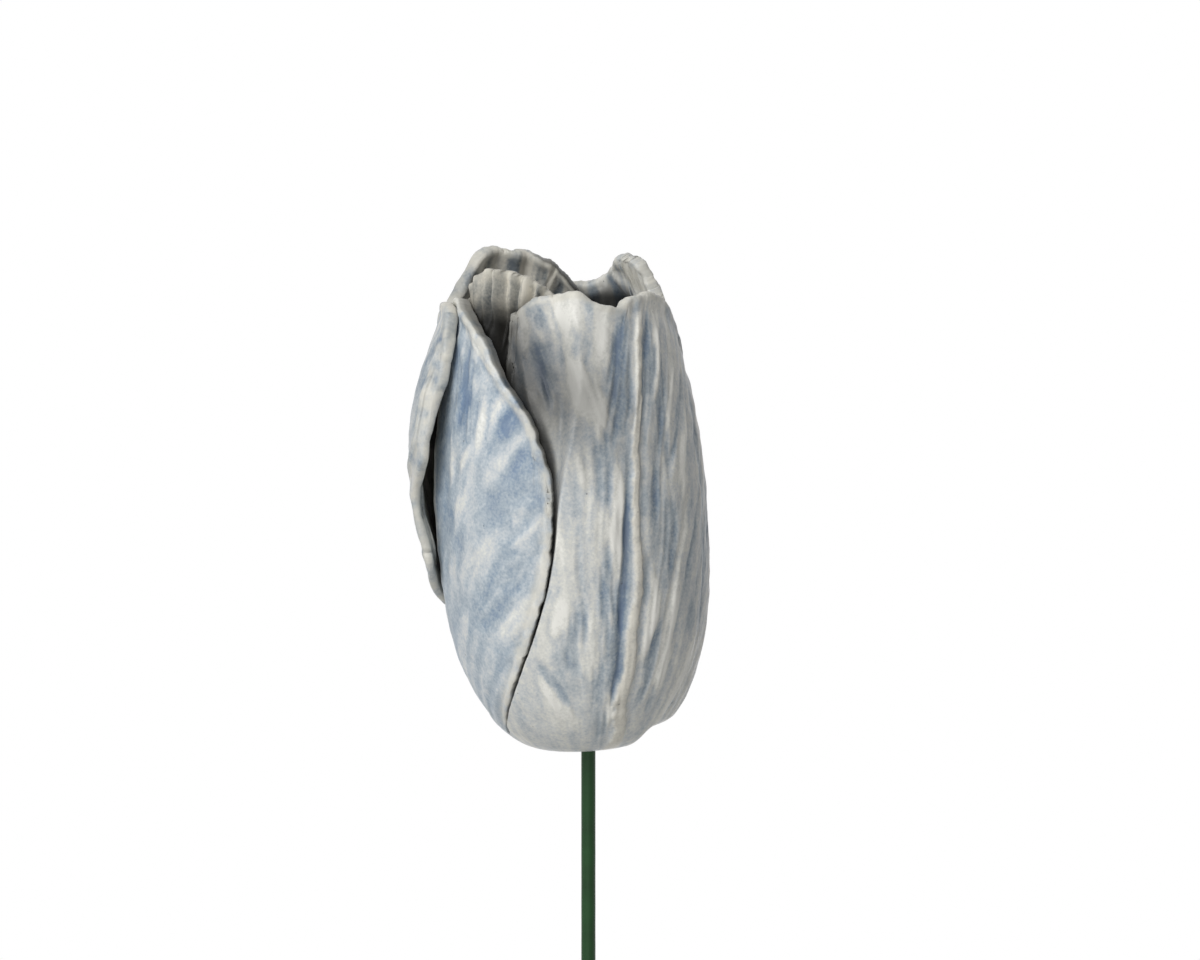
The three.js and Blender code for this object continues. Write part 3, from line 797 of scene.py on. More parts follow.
def stroke_tone(strokes, angle, height, bristles):
    """Sum of a petal's brush strokes: each is its tone times a bell curve of the distance to its path.

    A stroke narrows towards its ends. Its sides and its tone are frayed by hairs, a noise drawn out along
    the straight line from its first place to its last, and by the bristles of the veins.
    """
    x, y = np.radians(angle) * FLOWER_RADIUS, height
    total = np.zeros(x.shape)
    for number, (tone, width, *places) in enumerate(strokes):
        ends = np.array(places, float) * (math.radians(1) * FLOWER_RADIUS, 1)
        nearest, along = stroke_course(ends, x, y)
        dx, dy = (ends[-1] - ends[0]) / np.hypot(*(ends[-1] - ends[0]))
        ahead, aside = x * dx + y * dy, x * dy - y * dx
        hairs = noise(aside * HAIRS_PER_MM, ahead / HAIR_LENGTH, STROKE_SEED + number)
        fray = HAIR_SHARE * hairs + VEIN_SHARE * bristles
        taper = 1 - STROKE_TAPER * (2 * along - 1) ** 2
        reach = STROKE_REACH * width * taper * (LEAST_WIDTH + WIDTH_PER_FRAY * fray)
        fade = (LEAST_TONE + TONE_PER_FRAY * fray) * smooth(np.minimum(along, 1 - along), *STROKE_ENDS)
        total = total + tone * fade * np.exp(-((nearest / reach) ** 2))
    return total


print("hairs of the brush are about", round(1 / HAIRS_PER_MM, 1), "mm apart")

# %% How each petal is glazed
# CLEAN is a range of heights that paints no shade at all; SHADE_BELOW_TIP sets where painted shade on the
# inner face fades out below the tip.
CLEAN = (-2, -1)
SHADE_BELOW_TIP = (9, 2)


def glazing(**choices):
    """How a petal is glazed.

    tint adds to the pooled glaze and warm is the share of warm glaze, each outside and inside. gloss names
    the glaze, and brush is the strength of its strokes. dark is the pair of heights over which painted shade
    on the outer face fades out upwards, and shade the same for the inner face, or else a little below the
    tip. tucked is the strength of painted shade on the upper left margin where it goes behind a neighbour,
    and cut that of painted shade on the cut edge of the right margin.
    """
    usual = dict(tint=(0.0, 0.0), warm=(0.0, 0.4), gloss="glossy", brush=0.0, strokes=(), dark=CLEAN,
                 shade=None, tucked=0.0, cut=0.0)
    return usual | choices


# The height ranges and strengths of darkness below are painted shade: low on the front inner petal, inside
# the back petals, on the tucked margin of the front right petal and on the cut edge of the front left one.
GLAZINGS = {
    "outer_petal_front_left": glazing(tint=(0.09, 0), brush=0.85, strokes=FRONT_LEFT_STROKES, cut=0.6),
    "outer_petal_front_right": glazing(
        tint=(-0.09, 0), warm=(0.2, 0.4), brush=0.95, strokes=FRONT_RIGHT_STROKES, tucked=0.85),
    "outer_petal_back": glazing(tint=(-0.08, -0.08), warm=(0.3, 0.1), shade=(61, 64.5)),
    "inner_petal_back_left": glazing(tint=(0.08, -0.08), warm=(0.25, 0.7), shade=(58, 63)),
    "inner_petal_right": glazing(warm=(0.35, 0.35)),
    "inner_petal_front": glazing(tint=(-0.04, -0.04), warm=(0.8, 0.8), gloss="matt", dark=(61.3, 67.3)),
}
print(sum(paint["gloss"] == "glossy" for paint in GLAZINGS.values()), "petals have a glossy glaze")

# %% Where the glaze pools
POOL_START = 0.05
POOL_WEIGHTS = (0.22, 0.26, 0.2, 0.06)
CROWN_WEIGHTS = (0.3, 0.4, 0.25)
INNER_CROWN_GAIN = 0.5
CLOUDS_PER_DEGREE = 0.05
CLOUD_HEIGHT = 7
CLOUD_WEIGHT = 0.1
CLOUD_SEED = 8
BLOTCHES_PER_DEGREE = 0.11
BLOTCH_HEIGHT = 2.6
BLOTCH_WEIGHT = 0.03
BLOTCH_SEED = 20
FULL_POOL = 0.6
RUN_OFF = 0.4


def pooled_glaze(sheet, paint, face, seed):
    """Amount of blue glaze on a face, about 0 to 1: a weighted sum of its streaks, clouds and blotches.

    Near the crown the streaks count for more, and still more on the inner face.
    """
    cloud = noise(sheet.angle * CLOUDS_PER_DEGREE, sheet.height / CLOUD_HEIGHT, seed + CLOUD_SEED + face)
    blotch = noise(sheet.angle * BLOTCHES_PER_DEGREE, sheet.height / BLOTCH_HEIGHT, seed + BLOTCH_SEED + face)
    pool = POOL_START + paint["tint"][face]
    for weight, rank in zip(POOL_WEIGHTS, sheet.ranks[face]):
        pool = pool + weight * rank
    pool = pool + CLOUD_WEIGHT * cloud + BLOTCH_WEIGHT * blotch
    crown_streaks = 0
    for weight, rank in zip(CROWN_WEIGHTS, sheet.ranks[face][1:]):
        crown_streaks = crown_streaks + weight * (rank - MIDDLE)
    return pool + sheet.near_crown * crown_streaks * (1 + INNER_CROWN_GAIN * face)


def settled(pool):
    """Pooled glaze of which a share runs off where it is thick."""
    return pool - RUN_OFF * np.maximum(pool - FULL_POOL, 0)


print("streaks can add", round(sum(POOL_WEIGHTS), 2), "to the pooled glaze")

# %% Painted shade in the creases and the hollow
# Painted shade: how wide and dark the creases are, a painted shadow beside them, the shade on a tucked margin
# and the shade inside the flower.
CREASE_WIDTHS = (0.7, 3.5)
CREASE_OPENS = (38, 54)
CREASE_PAINTED_SHADE = 0.95
PAINTED_SHADOW_WIDTH = 21.0
PAINTED_SHADOW_STARTS = (36, 54)
PAINTED_SHADOW_STRENGTH = 0.9
TUCKED_SHADE_REACH = (0.2, 5.5)
TUCKED_SHADE_FROM = (44, 52)
TUCKED_SHADE_TO = (61, 64)
HOLLOW_PAINTED_SHADE = (0.55, 0.96)
HOLLOW_DEEPENS = (40, 56)
CLEAN_CROWN = (0.2, 1.7)
CLEAN_RIM = (0.2, 1.2)


def outline_angle(form, side, height):
    """Angle of a petal's outline at a height: its margin up to the shoulder, and its crown above it."""
    edge = form[side]
    angle = margin_angle(edge, row_at((height - form["foot"]) / (edge["shoulder"] - form["foot"])))
    rise = np.clip((height - edge["shoulder"]) / (form["tip"] - edge["shoulder"]), 0, 1)
    across = (1 - rise ** (1 / edge["round"])) ** (1 / edge["crown"])
    return mix(form["midrib"][1], angle, across)


def crease_dark(form, sheet):
    """How much shade is painted on a petal beside the neighbours that it goes under, 0 to 1.

    Painted shade makes the crease itself nearly black, over a width that grows upwards, and a painted shadow
    of the neighbour's edge darkens the upper part over a longer way, each with an S-curve of the distance to
    the neighbour's outline.
    """
    dark = np.zeros(sheet.u.shape)
    for passing in form["laps"]:
        if passing["climb"] == OVER:
            continue
        side = passing["side"]
        beside = wrapped(sheet.angle - outline_angle(PETALS[passing["neighbour"]], side, sheet.height))
        clear = np.radians(beside if side == "right" else -beside) * sheet.radius
        width = mix(*CREASE_WIDTHS, smooth(sheet.height, *CREASE_OPENS))
        # painted shade in the crease, and a painted shadow of the neighbour's edge over a longer way above it
        crease_shade = CREASE_PAINTED_SHADE * (1 - smooth(clear, 0, width))
        painted_shadow = PAINTED_SHADOW_STRENGTH * (1 - smooth(clear, 0, PAINTED_SHADOW_WIDTH)) * smooth(sheet.height, *PAINTED_SHADOW_STARTS)
        dark = np.maximum(dark, np.maximum(crease_shade, painted_shadow))
    return dark


def outer_dark(form, paint, sheet):
    """How much shade is painted on the outer face, 0 to 1: the most of that in its creases, on its margin
    where it goes behind a neighbour, and below its given heights.
    """
    # painted shade on the upper left margin where it goes behind a neighbour
    tucked = paint["tucked"] * (1 - smooth(sheet.to_left, *TUCKED_SHADE_REACH)) * smooth(sheet.height, *TUCKED_SHADE_FROM)
    tucked = tucked * (1 - smooth(sheet.height, *TUCKED_SHADE_TO))
    crease = np.maximum(crease_dark(form, sheet), tucked)
    # painted shade below the petal's given heights, or in its creases
    return np.maximum(1 - smooth(sheet.height, *paint["dark"]), crease * sheet.above_heel)


def hollow_dark(form, paint, sheet):
    """How much shade is painted on the inner face, 0 to 1: most in the upper part inside the flower, and none
    at the crown and the rim.
    """
    shade = paint["shade"] or [form["tip"] - below for below in SHADE_BELOW_TIP]
    # painted shade inside the flower, stronger higher up and none at the crown and the rim
    deep = mix(*HOLLOW_PAINTED_SHADE, smooth(sheet.height, *HOLLOW_DEEPENS)) * smooth(sheet.to_crown, *CLEAN_CROWN)
    return deep * (1 - smooth(sheet.height, *shade)) * sheet.above_heel * smooth(sheet.to_rim, *CLEAN_RIM)


print("creases are", CREASE_WIDTHS[0], "to", CREASE_WIDTHS[1], "mm wide")

# %% [markdown]
# ## Building a petal
#
# A petal is a closed shell: a grid on its outer face, one on its inner face, and a rounded strip that joins
# them along the margins. Solidify on a single sheet would be shorter, but it gives no thick heel and a square
# rim. What the glaze needs to know is worked out at the same points and kept on the mesh as attributes: the
# pooled glaze, the painted shade, how warm it is, and how close the rim is.

# %% The two faces
STROKE_RELIEF = 0.6
LEAST_STROKE = 0.6
STROKE_PER_RIB = 0.8
RIB_POOL = 0.24
RIB_STREAKS = 0.1
RIB_WARMTH = 0.6
VALLEY_POOL = 0.08


def outer_face(form, relief, paint, sheet, depth, seed):
    """Depth of the outer face with all its relief, and its pooled glaze, painted shade and warmth.

    Blue strokes lie a little deeper and cream ones stand out. The midrib takes up less glaze, the valleys
    beside it more.
    """
    _, ribs, fine, bristles = sheet.ranks[OUTER]
    strokes = stroke_tone(paint["strokes"], sheet.angle, sheet.height, bristles)
    strokes = strokes * (LEAST_STROKE + STROKE_PER_RIB * ribs) * paint["brush"]
    depth = depth + pressed_relief(sheet, relief, OUTER, seed)
    depth = depth + margin_lip(sheet, relief) - fold_relief(relief, sheet) - STROKE_RELIEF * strokes
    depth = depth - relief["undercut"] * set_in_foot(sheet)
    depth = depth + relief["bulge"] * full_flank(sheet)
    pool = pooled_glaze(sheet, paint, OUTER, seed) + strokes
    warm = np.full(sheet.u.shape, paint["warm"][OUTER])
    if relief["rib"]:
        rib, valley, raised = raised_midrib(form, relief, sheet, seed)
        depth = depth + raised
        pool = mix(pool, RIB_POOL + RIB_STREAKS * fine, rib) + VALLEY_POOL * valley
        warm = mix(warm, RIB_WARMTH, rib)
    return SimpleNamespace(depth=depth, pool=settled(pool), dark=outer_dark(form, paint, sheet), warm=warm)


def inner_face(form, relief, paint, sheet, depth, seed):
    """Depth of the inner face, whose relief stands inwards, and its pooled glaze, painted shade and warmth.
    """
    return SimpleNamespace(
        depth=depth - pressed_relief(sheet, relief, INNER, seed),
        pool=settled(pooled_glaze(sheet, paint, INNER, seed)),
        dark=hollow_dark(form, paint, sheet),
        warm=np.full(sheet.u.shape, paint["warm"][INNER]))


print("strokes change the depth by", STROKE_RELIEF, "mm for a tone of 1")

# %% The rounded rim
RIM_RINGS = 7
RIM_TURN = np.arange(1, RIM_RINGS + 1)[:, None] * math.pi / (RIM_RINGS + 1)
RIM_LUMPS = 0.3
LUMP_MIDDLE = 0.8
LONG_LUMPS = 2.1
SHORT_LUMPS = 0.9
SHORT_SHARE = 0.6
RIM_SEED = 80
LEAST_STEP = 1e-9


def edge_loop(grid):
    """Indices once round the edge of a grid: along the foot, up the right, back along the crown and down."""
    return np.concatenate([grid[0, :-1], grid[:-1, -1], grid[-1, :0:-1], grid[:0:-1, 0]])


def rounded_rim(sheet, loop, outer, inner, square, seed):
    """Angle, height and depth of the rings that join the outer to the inner face.

    Ring k turns by k of RIM_RINGS + 1 parts of half a circle. It stands out from the loop with a power of
    the sine, made lumpy along the run, and goes from face to face with the same power of the cosine.
    """
    angle, height, radius, above_heel = [
        values.flat[loop] for values in (sheet.angle, sheet.height, sheet.radius, sheet.above_heel)]
    flat = np.stack([np.radians(angle) * radius, height])
    along = np.roll(flat, -1, axis=1) - np.roll(flat, 1, axis=1)
    run = np.cumsum(np.hypot(*along)) / 2
    along = along / np.maximum(np.hypot(*along), LEAST_STEP)
    lumpy = line_noise(run / LONG_LUMPS, seed + RIM_SEED)
    lumpy = lumpy + SHORT_SHARE * line_noise(run / SHORT_LUMPS, seed + RIM_SEED + 1)
    stand = (RIM_ROUND + RIM_LUMPS * (lumpy - LUMP_MIDDLE)) * above_heel * np.sin(RIM_TURN) ** square
    middle = (outer.flat[loop] + inner.flat[loop]) / 2
    half = (outer.flat[loop] - inner.flat[loop]) / 2
    depth = middle + half * np.sign(np.cos(RIM_TURN)) * np.abs(np.cos(RIM_TURN)) ** square
    return angle + np.degrees(along[1] * stand / radius), height - along[0] * stand, depth


def joined(loop, of_outer, of_inner, start=0.0):
    """Values of both faces and of the rim, where they change over after a share of its turn."""
    of_rim = mix(of_outer.flat[loop], of_inner.flat[loop], smooth(RIM_TURN / math.pi, start, 1))
    return np.concatenate([of_outer.ravel(), of_inner.ravel(), of_rim.ravel()])


print("the rim has", RIM_RINGS, "rings")

# %% A whole petal
RIM_BAND = (0.1, 0.85)
# The rim takes the inner face's painted shade after this share of its turn, and painted shade on the cut edge
# sets in over the next part of it.
RIM_SHADE_TURN = 0.7
CUT_SHADE_STARTS = (0.2, 0.5)


def petal_surface(name, seed):
    """Points of both faces and of the rim of one petal, its marks, and the indices of its grid and edge.

    Each point is on_barrel(angle, height, depth). The marks are what the glaze needs at each point.
    """
    form, relief, paint = PETALS[name], RELIEFS[name], GLAZINGS[name]
    sheet = petal_sheet(form, relief["fan"], seed)
    outer_depth, inner_depth = face_depths(form, sheet.u, sheet.v)
    outer = outer_face(form, relief, paint, sheet, outer_depth, seed)
    inner = inner_face(form, relief, paint, sheet, inner_depth, seed)
    grid = np.arange(sheet.u.size).reshape(sheet.u.shape)
    loop = edge_loop(grid)
    rim = rounded_rim(sheet, loop, outer.depth, inner.depth, relief["square"], seed)
    faces = [(sheet.angle, sheet.height, face.depth) for face in (outer, inner)]
    points = np.concatenate([on_barrel(*places).reshape(-1, 3) for places in (*faces, rim)])
    near = (1 - smooth(sheet.to_rim, *RIM_BAND)) * sheet.above_heel
    marks = {
        "pool": joined(loop, outer.pool, inner.pool),
        # painted shade: the glaze darkened where shade falls, in the hollow, the creases and on the cut edge
        "dark": joined(loop, outer.dark, inner.dark, RIM_SHADE_TURN),
        "rim": joined(loop, near, near),
        "warm": joined(loop, outer.warm, inner.warm),
    }
    # painted shade on the cut edge of the right margin, which faces away from the light
    cut = paint["cut"] * (sheet.u.flat[loop] > 0) * np.sin(RIM_TURN) ** 2
    cut = cut * smooth(RIM_TURN / math.pi, *CUT_SHADE_STARTS)
    rim_dark = marks["dark"][2 * grid.size:]
    np.maximum(rim_dark, cut.ravel(), out=rim_dark)
    return points, marks, grid, loop


print("the cut edge turns dark over", CUT_SHADE_STARTS, "of the rim's turn")

# %% Faces and meshes
def grid_quads(grid):
    """Quads between neighbouring points of a grid of indices, anticlockwise seen from outside."""
    return np.stack([grid[:-1, :-1], grid[:-1, 1:], grid[1:, 1:], grid[1:, :-1]], -1).reshape(-1, 4)


def shell_quads(grid, loop):
    """Quads of a closed petal: the outer grid, the inner grid turned round, and the rim's rings."""
    rings = [2 * grid.size + k * loop.size + np.arange(loop.size) for k in range(RIM_RINGS)]
    strip = np.stack([loop, *rings, loop + grid.size])
    after = np.roll(strip, -1, axis=1)
    rim = np.stack([after[:-1], strip[:-1], strip[1:], after[1:]], -1).reshape(-1, 4)
    return np.concatenate([grid_quads(grid), grid_quads(grid + grid.size)[:, ::-1], rim])


def make_piece(name, points, quads, material, attributes=None):
    """A smooth mesh object at the origin from points in metres and quads, with point attributes."""
    mesh = bpy.data.meshes.new(name)
    mesh.vertices.add(len(points))
    mesh.vertices.foreach_set("co", np.asarray(points, np.float32).ravel())
    mesh.loops.add(quads.size)
    mesh.loops.foreach_set("vertex_index", quads.astype(np.int32).ravel())
    mesh.polygons.add(len(quads))
    mesh.polygons.foreach_set("loop_start", np.arange(0, quads.size, 4, dtype=np.int32))
    mesh.polygons.foreach_set("loop_total", np.full(len(quads), 4, np.int32))
    mesh.polygons.foreach_set("use_smooth", np.ones(len(quads), bool))
    mesh.update(calc_edges=True)
    mesh.validate()
    for key, values in (attributes or {}).items():
        mesh.attributes.new(key, "FLOAT", "POINT").data.foreach_set("value", values.astype(np.float32))
    mesh.materials.append(material)
    piece = bpy.data.objects.new(name, mesh)
    bpy.context.scene.collection.objects.link(piece)
    return piece


print(COLUMNS * ROWS, "quads on each face of a petal")

# %% [markdown]
# ## The glaze
#
# The finish is a soft-gloss glaze brushed on in streaks. Cream clay shows on ridges and margins, blue-grey
# lies in the grooves, and there are pinholes and specks where bubbles burst in the kiln. A painted image
# would hold one view only, so the colour is a ramp over the pooled amount that each petal carries as an
# attribute, with finer noise added in the material. A second, warmer ramp is for petals with thin glaze.

# %% Helpers for materials
def colour(red, green, blue):
    """A colour as seen on a screen, 0 to 255, as the linear values that nodes take, by the sRGB curve."""
    share = np.array([red, green, blue]) / 255
    linear = np.where(share <= 0.04045, share / 12.92, ((share + 0.055) / 1.055) ** 2.4)
    return (*linear.tolist(), 1.0)


class Nodes:
    """Short words for building a node tree: add a node, link, and the usual maths."""

    def __init__(self, name):
        self.material = bpy.data.materials.new(name)
        self.material.use_nodes = True
        self.tree = self.material.node_tree
        self.shader = self.tree.nodes["Principled BSDF"]

    def add(self, kind, inputs=None, **settings):
        """A new node of a kind, with its inputs and its settings."""
        node = self.tree.nodes.new(kind)
        for key, value in settings.items():
            setattr(node, key, value)
        for key, value in (inputs or {}).items():
            self.put(node.inputs[key], value)
        return node

    def put(self, socket, value):
        """Links a socket to another one, or sets it to a number or a colour."""
        if isinstance(value, bpy.types.NodeSocket):
            self.tree.links.new(value, socket)
        else:
            socket.default_value = value

    def maths(self, operation, a, b):
        """Two values joined by an operation."""
        return self.add("ShaderNodeMath", {0: a, 1: b}, operation=operation).outputs[0]

    def plus(self, start, value, share):
        """A start plus a share of a value."""
        return self.maths("ADD", start, self.maths("MULTIPLY", value, share))

    def between(self, value, low, high):
        """0 below low, 1 above high."""
        node = self.add("ShaderNodeMapRange", {"Value": value, "From Min": low, "From Max": high})
        return node.outputs[0]

    def blend(self, share, a, b):
        """Colour a where share is 0 and b where it is 1."""
        node = self.add("ShaderNodeMix", {"Factor": share}, data_type="RGBA")
        self.put(node.inputs[6], a)
        self.put(node.inputs[7], b)
        return node.outputs[2]

    def ramp(self, value, stops):
        """A colour that runs through stops, which are (value, screen colour)."""
        node = self.add("ShaderNodeValToRGB", {"Fac": value})
        elements = node.color_ramp.elements
        while len(elements) < len(stops):
            elements.new(0.5)
        for element, (at, tint) in zip(elements, stops):
            element.position = at
            element.color = colour(*tint)
        return node.outputs["Color"]

    def place(self):
        """Object coordinates, in metres."""
        return self.add("ShaderNodeTexCoord").outputs["Object"]

    def grain(self, scale, detail=3.0, stretch=(1, 1, 1)):
        """Noise on Object coordinates. One unit is a metre, so a scale of 1000 has cells of a millimetre."""
        place = self.add("ShaderNodeMapping", {"Vector": self.place(), "Scale": stretch}).outputs[0]
        node = self.add("ShaderNodeTexNoise", {"Vector": place, "Scale": scale, "Detail": detail})
        return node.outputs["Fac"]

    def attribute(self, name):
        """A value that the mesh carries at its points."""
        return self.add("ShaderNodeAttribute", attribute_name=name).outputs["Fac"]

    def bump(self, height, distance, strength):
        """Fine relief for the shader, up to a distance in metres."""
        node = self.add("ShaderNodeBump", {"Height": height, "Distance": distance, "Strength": strength})
        self.put(self.shader.inputs["Normal"], node.outputs[0])

    def finish(self, **sockets):
        """The material, with the shader's sockets set. An underscore stands for a space in their names."""
        for key, value in sockets.items():
            self.put(self.shader.inputs[key.replace("_", " ")], value)
        return self.material


print("middle grey is", round(colour(128, 128, 128)[0], 3), "in linear light")

# %% The petal glaze
COOL_STOPS = [(0.18, (238, 238, 233)), (0.32, (216, 217, 212)), (0.42, (201, 205, 207)),
              (0.52, (181, 190, 197)), (0.62, (158, 171, 182)), (0.80, (112, 133, 158)),
              (0.95, (96, 118, 148))]
WARM_STOPS = [(0.3, (196, 190, 175)), (0.5, (158, 154, 142)), (0.72, (98, 98, 92))]
CLOUD_COLOUR = (184, 186, 184)
RIM_COLOUR = (206, 203, 192)
# near-black colour of the painted shade in the hollow, the creases and on the cut edge
PAINTED_SHADE_COLOUR = (8, 8, 8)
PINHOLE_COLOUR = (70, 76, 84)
SAND_SHARE = 0.34
MOTTLE_SHARE = 0.32
CLOUD_SHARE = 0.2
RIM_SHARE = 0.75
# how far the painted shade darkens the glaze towards that colour
PAINTED_SHADE_SHARE = 0.97
PINHOLE_SHARE = 0.5
PINHOLE_CELLS = 420.0
PINHOLE_SIZE = 0.06
PINHOLE_CHOICE = 0.75
PINHOLE_DEPTH = -1.5


def pinholes(n):
    """1 in small round holes, and 0 elsewhere: the middles of some of a pattern's cells."""
    cells = n.add("ShaderNodeTexVoronoi", {"Vector": n.place(), "Scale": PINHOLE_CELLS})
    chosen = n.add("ShaderNodeSeparateColor", {0: cells.outputs["Color"]}).outputs[0]
    middle = n.maths("LESS_THAN", cells.outputs["Distance"], PINHOLE_SIZE)
    return n.maths("MULTIPLY", middle, n.maths("GREATER_THAN", chosen, PINHOLE_CHOICE))


def petal_glaze(name, coat, specular):
    """Streaked glaze: a ramp from cream to slate blue over the pooled amount, or a warm ramp.

    Over it come pale clouds, the cream rim, the painted shade and the pinholes.
    """
    n = Nodes(name)
    mottle = n.maths("SUBTRACT", n.grain(800, 5), MIDDLE)
    sand = n.maths("SUBTRACT", n.grain(2600, 2), MIDDLE)
    pooled = n.plus(n.plus(n.attribute("pool"), sand, SAND_SHARE), mottle, MOTTLE_SHARE)
    painted = n.ramp(pooled, COOL_STOPS)
    cloud = n.between(n.grain(160, 3), 0.35, 0.7)
    painted = n.blend(n.maths("MULTIPLY", cloud, CLOUD_SHARE), painted, colour(*CLOUD_COLOUR))
    painted = n.blend(n.attribute("warm"), painted, n.ramp(pooled, WARM_STOPS))
    edge = n.maths("MULTIPLY", n.attribute("rim"), n.between(n.grain(500, 2), 0.3, 0.6))
    painted = n.blend(n.maths("MULTIPLY", edge, RIM_SHARE), painted, colour(*RIM_COLOUR))
    # painted shade: the glaze is darkened towards near black where shade falls
    painted_shade_mix = n.maths("MULTIPLY", n.attribute("dark"), PAINTED_SHADE_SHARE)
    painted = n.blend(painted_shade_mix, painted, colour(*PAINTED_SHADE_COLOUR))
    hole = pinholes(n)
    painted = n.blend(n.maths("MULTIPLY", hole, PINHOLE_SHARE), painted, colour(*PINHOLE_COLOUR))
    n.bump(n.plus(n.grain(900, 3), hole, PINHOLE_DEPTH), distance=0.00012, strength=0.6)
    rough = n.plus(0.28, n.grain(260, 2), 0.25)
    return n.finish(Base_Color=painted, Roughness=rough, Coat_Weight=coat, Coat_Roughness=0.15,
                    Specular_IOR_Level=specular)


GLAZES = {
    "glossy": petal_glaze("glossy_glaze", coat=0.15, specular=0.18),
    "matt": petal_glaze("matt_glaze", coat=0.0, specular=0.08),
}
print("glazes:", ", ".join(GLAZES))

# %% Make the petals
FIRST_SEED = 100
SEED_STEP = 17
for order, name in enumerate(PETALS):
    points, marks, grid, loop = petal_surface(name, FIRST_SEED + SEED_STEP * order)
    quads = shell_quads(grid, loop)
    shell = make_piece("glazed_" + name, points, quads, GLAZES[GLAZINGS[name]["gloss"]], marks)
    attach(shell, "root")
    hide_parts(name)
    low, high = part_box(name)
    drift = np.abs(np.concatenate([points.min(0) - low, points.max(0) - high])).max() / MM
    print(shell.name, 2 * len(quads), "triangles, box within", round(float(drift), 2), "mm of its solid")

# %% [markdown]
# ## The stem
#
# The stem is florist's wire in a green plastic coat. The coat was drawn over the wire, so it has faint
# rings and long flats, and its cut end is slightly rounded. A plain cylinder would look like a rod, so
# the coat is a closed profile carried round the axis, with its radius varied along the length.

# %% Shape of the green coat
COAT_WALL = 0.3
COAT_STEPS = 420
COAT_SIDES = 48
COAT_BEVEL = 0.12
COAT_WAVE = 0.012
COAT_WAVE_LENGTH = 3.5
COAT_FLATS = 1.5
COAT_SEED = 7


def coat_points(bottom, top, radius):
    """A tube closed on itself: outside up, over the rounded top, inside down, over the rounded bottom.

    The outer radius is the given one less a small wave along the length and a slow flat round it.
    """
    height = mix(bottom, top, np.linspace(0, 1, COAT_STEPS))
    to_end = np.minimum(height - bottom, top - height)
    rounding = COAT_BEVEL * (1 - smooth(to_end, 0, COAT_BEVEL * 2))
    turn = np.linspace(0, 2 * math.pi, COAT_SIDES, endpoint=False)
    wave = noise(height[:, None] / COAT_WAVE_LENGTH, np.cos(turn)[None, :] * COAT_FLATS, COAT_SEED)
    outside = radius - rounding[:, None] - COAT_WAVE * wave
    inside = np.full((2, COAT_SIDES), radius - COAT_WALL)
    reach = np.concatenate([outside, inside])
    level = np.concatenate([height, [top, bottom]])[:, None] + np.zeros((1, COAT_SIDES))
    return np.stack([reach * np.sin(turn), -reach * np.cos(turn), level], -1)


def ring_quads(rows, sides):
    """Quads of a surface closed both ways round."""
    grid = np.arange(rows * sides).reshape(rows, sides)
    grid = np.concatenate([grid, grid[:1]], 0)
    grid = np.concatenate([grid, grid[:, :1]], 1)
    return grid_quads(grid)


coat_low, coat_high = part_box("stem_coat")
coat = coat_points(coat_low.z / MM, coat_high.z / MM, coat_high.x / MM)
print("the coat is", round((coat_high.z - coat_low.z) / MM, 1), "mm long")

# %% The green coat
def green_plastic():
    """Satin green plastic with faint rings, a little lighter and duller where it has rubbed."""
    n = Nodes("green_plastic")
    ring = n.grain(260, 3, stretch=(0.3, 0.3, 1))
    tint = n.blend(n.between(ring, 0.35, 0.7), colour(14, 50, 17), colour(24, 64, 27))
    n.bump(ring, distance=0.0001, strength=0.3)
    return n.finish(Base_Color=tint, Roughness=n.plus(0.34, ring, 0.2), Specular_IOR_Level=0.25)


stem = make_piece("drawn_stem_coat", coat.reshape(-1, 3) * MM, ring_quads(*coat.shape[:2]), green_plastic())
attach(stem, "root")
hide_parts("stem_coat")
print(stem.name, "has", 2 * len(stem.data.polygons), "triangles")

# %% [markdown]
# ## What stays as it was packed
#
# The clay base, the glue in its socket and the wire's core are right as they are. They only need finishes:
# bare clay under the flower, a yellowish glue, and drawn steel in the cut end of the stem.

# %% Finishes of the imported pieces
def bare_clay():
    """Fired clay without glaze: cream-grey, matt, speckled and a little sandy."""
    n = Nodes("bare_clay")
    speck = n.between(n.grain(900, 2), 0.6, 0.72)
    body = n.blend(n.between(n.grain(140, 4), 0.3, 0.7), colour(201, 197, 184), colour(182, 178, 168))
    body = n.blend(n.maths("MULTIPLY", speck, 0.6), body, colour(120, 112, 100))
    n.bump(n.grain(1400, 3), distance=0.00015, strength=0.5)
    return n.finish(Base_Color=body, Roughness=n.plus(0.6, speck, 0.2))


def set_glue():
    """Hardened glue: glossy, yellowish, with a few cloudy spots."""
    n = Nodes("set_glue")
    cloud = n.between(n.grain(600, 3), 0.4, 0.65)
    body = n.blend(cloud, colour(216, 205, 166), colour(230, 224, 200))
    return n.finish(Base_Color=body, Roughness=n.plus(0.2, cloud, 0.25))


def drawn_steel():
    """Drawn steel wire: grey metal with fine lines along its length."""
    n = Nodes("drawn_steel")
    line = n.grain(3000, 2, stretch=(1, 1, 0.03))
    body = n.blend(line, colour(120, 122, 125), colour(170, 172, 175))
    n.bump(line, distance=0.00002, strength=0.4)
    return n.finish(Base_Color=body, Roughness=n.plus(0.3, line, 0.2), Metallic=1.0)


for name, material in (("clay_base", bare_clay()), ("stem_glue", set_glue()), ("stem_wire", drawn_steel())):
    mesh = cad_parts[name].data
    mesh.materials.clear()
    mesh.materials.append(material)
    print(name, "keeps its packed shape, in", material.name)

# %% [markdown]
# ## Studio
#
# The photograph is a catalogue picture on white: a large soft light from the upper left, weaker light from
# all around, and a white ground. The ground is white by the world's strength for rays that come from the
# camera or from a glossy or clear surface, and not by more light on the flower. The camera looks down by nine
# degrees from far off, so the stem and the flower keep their proportions.

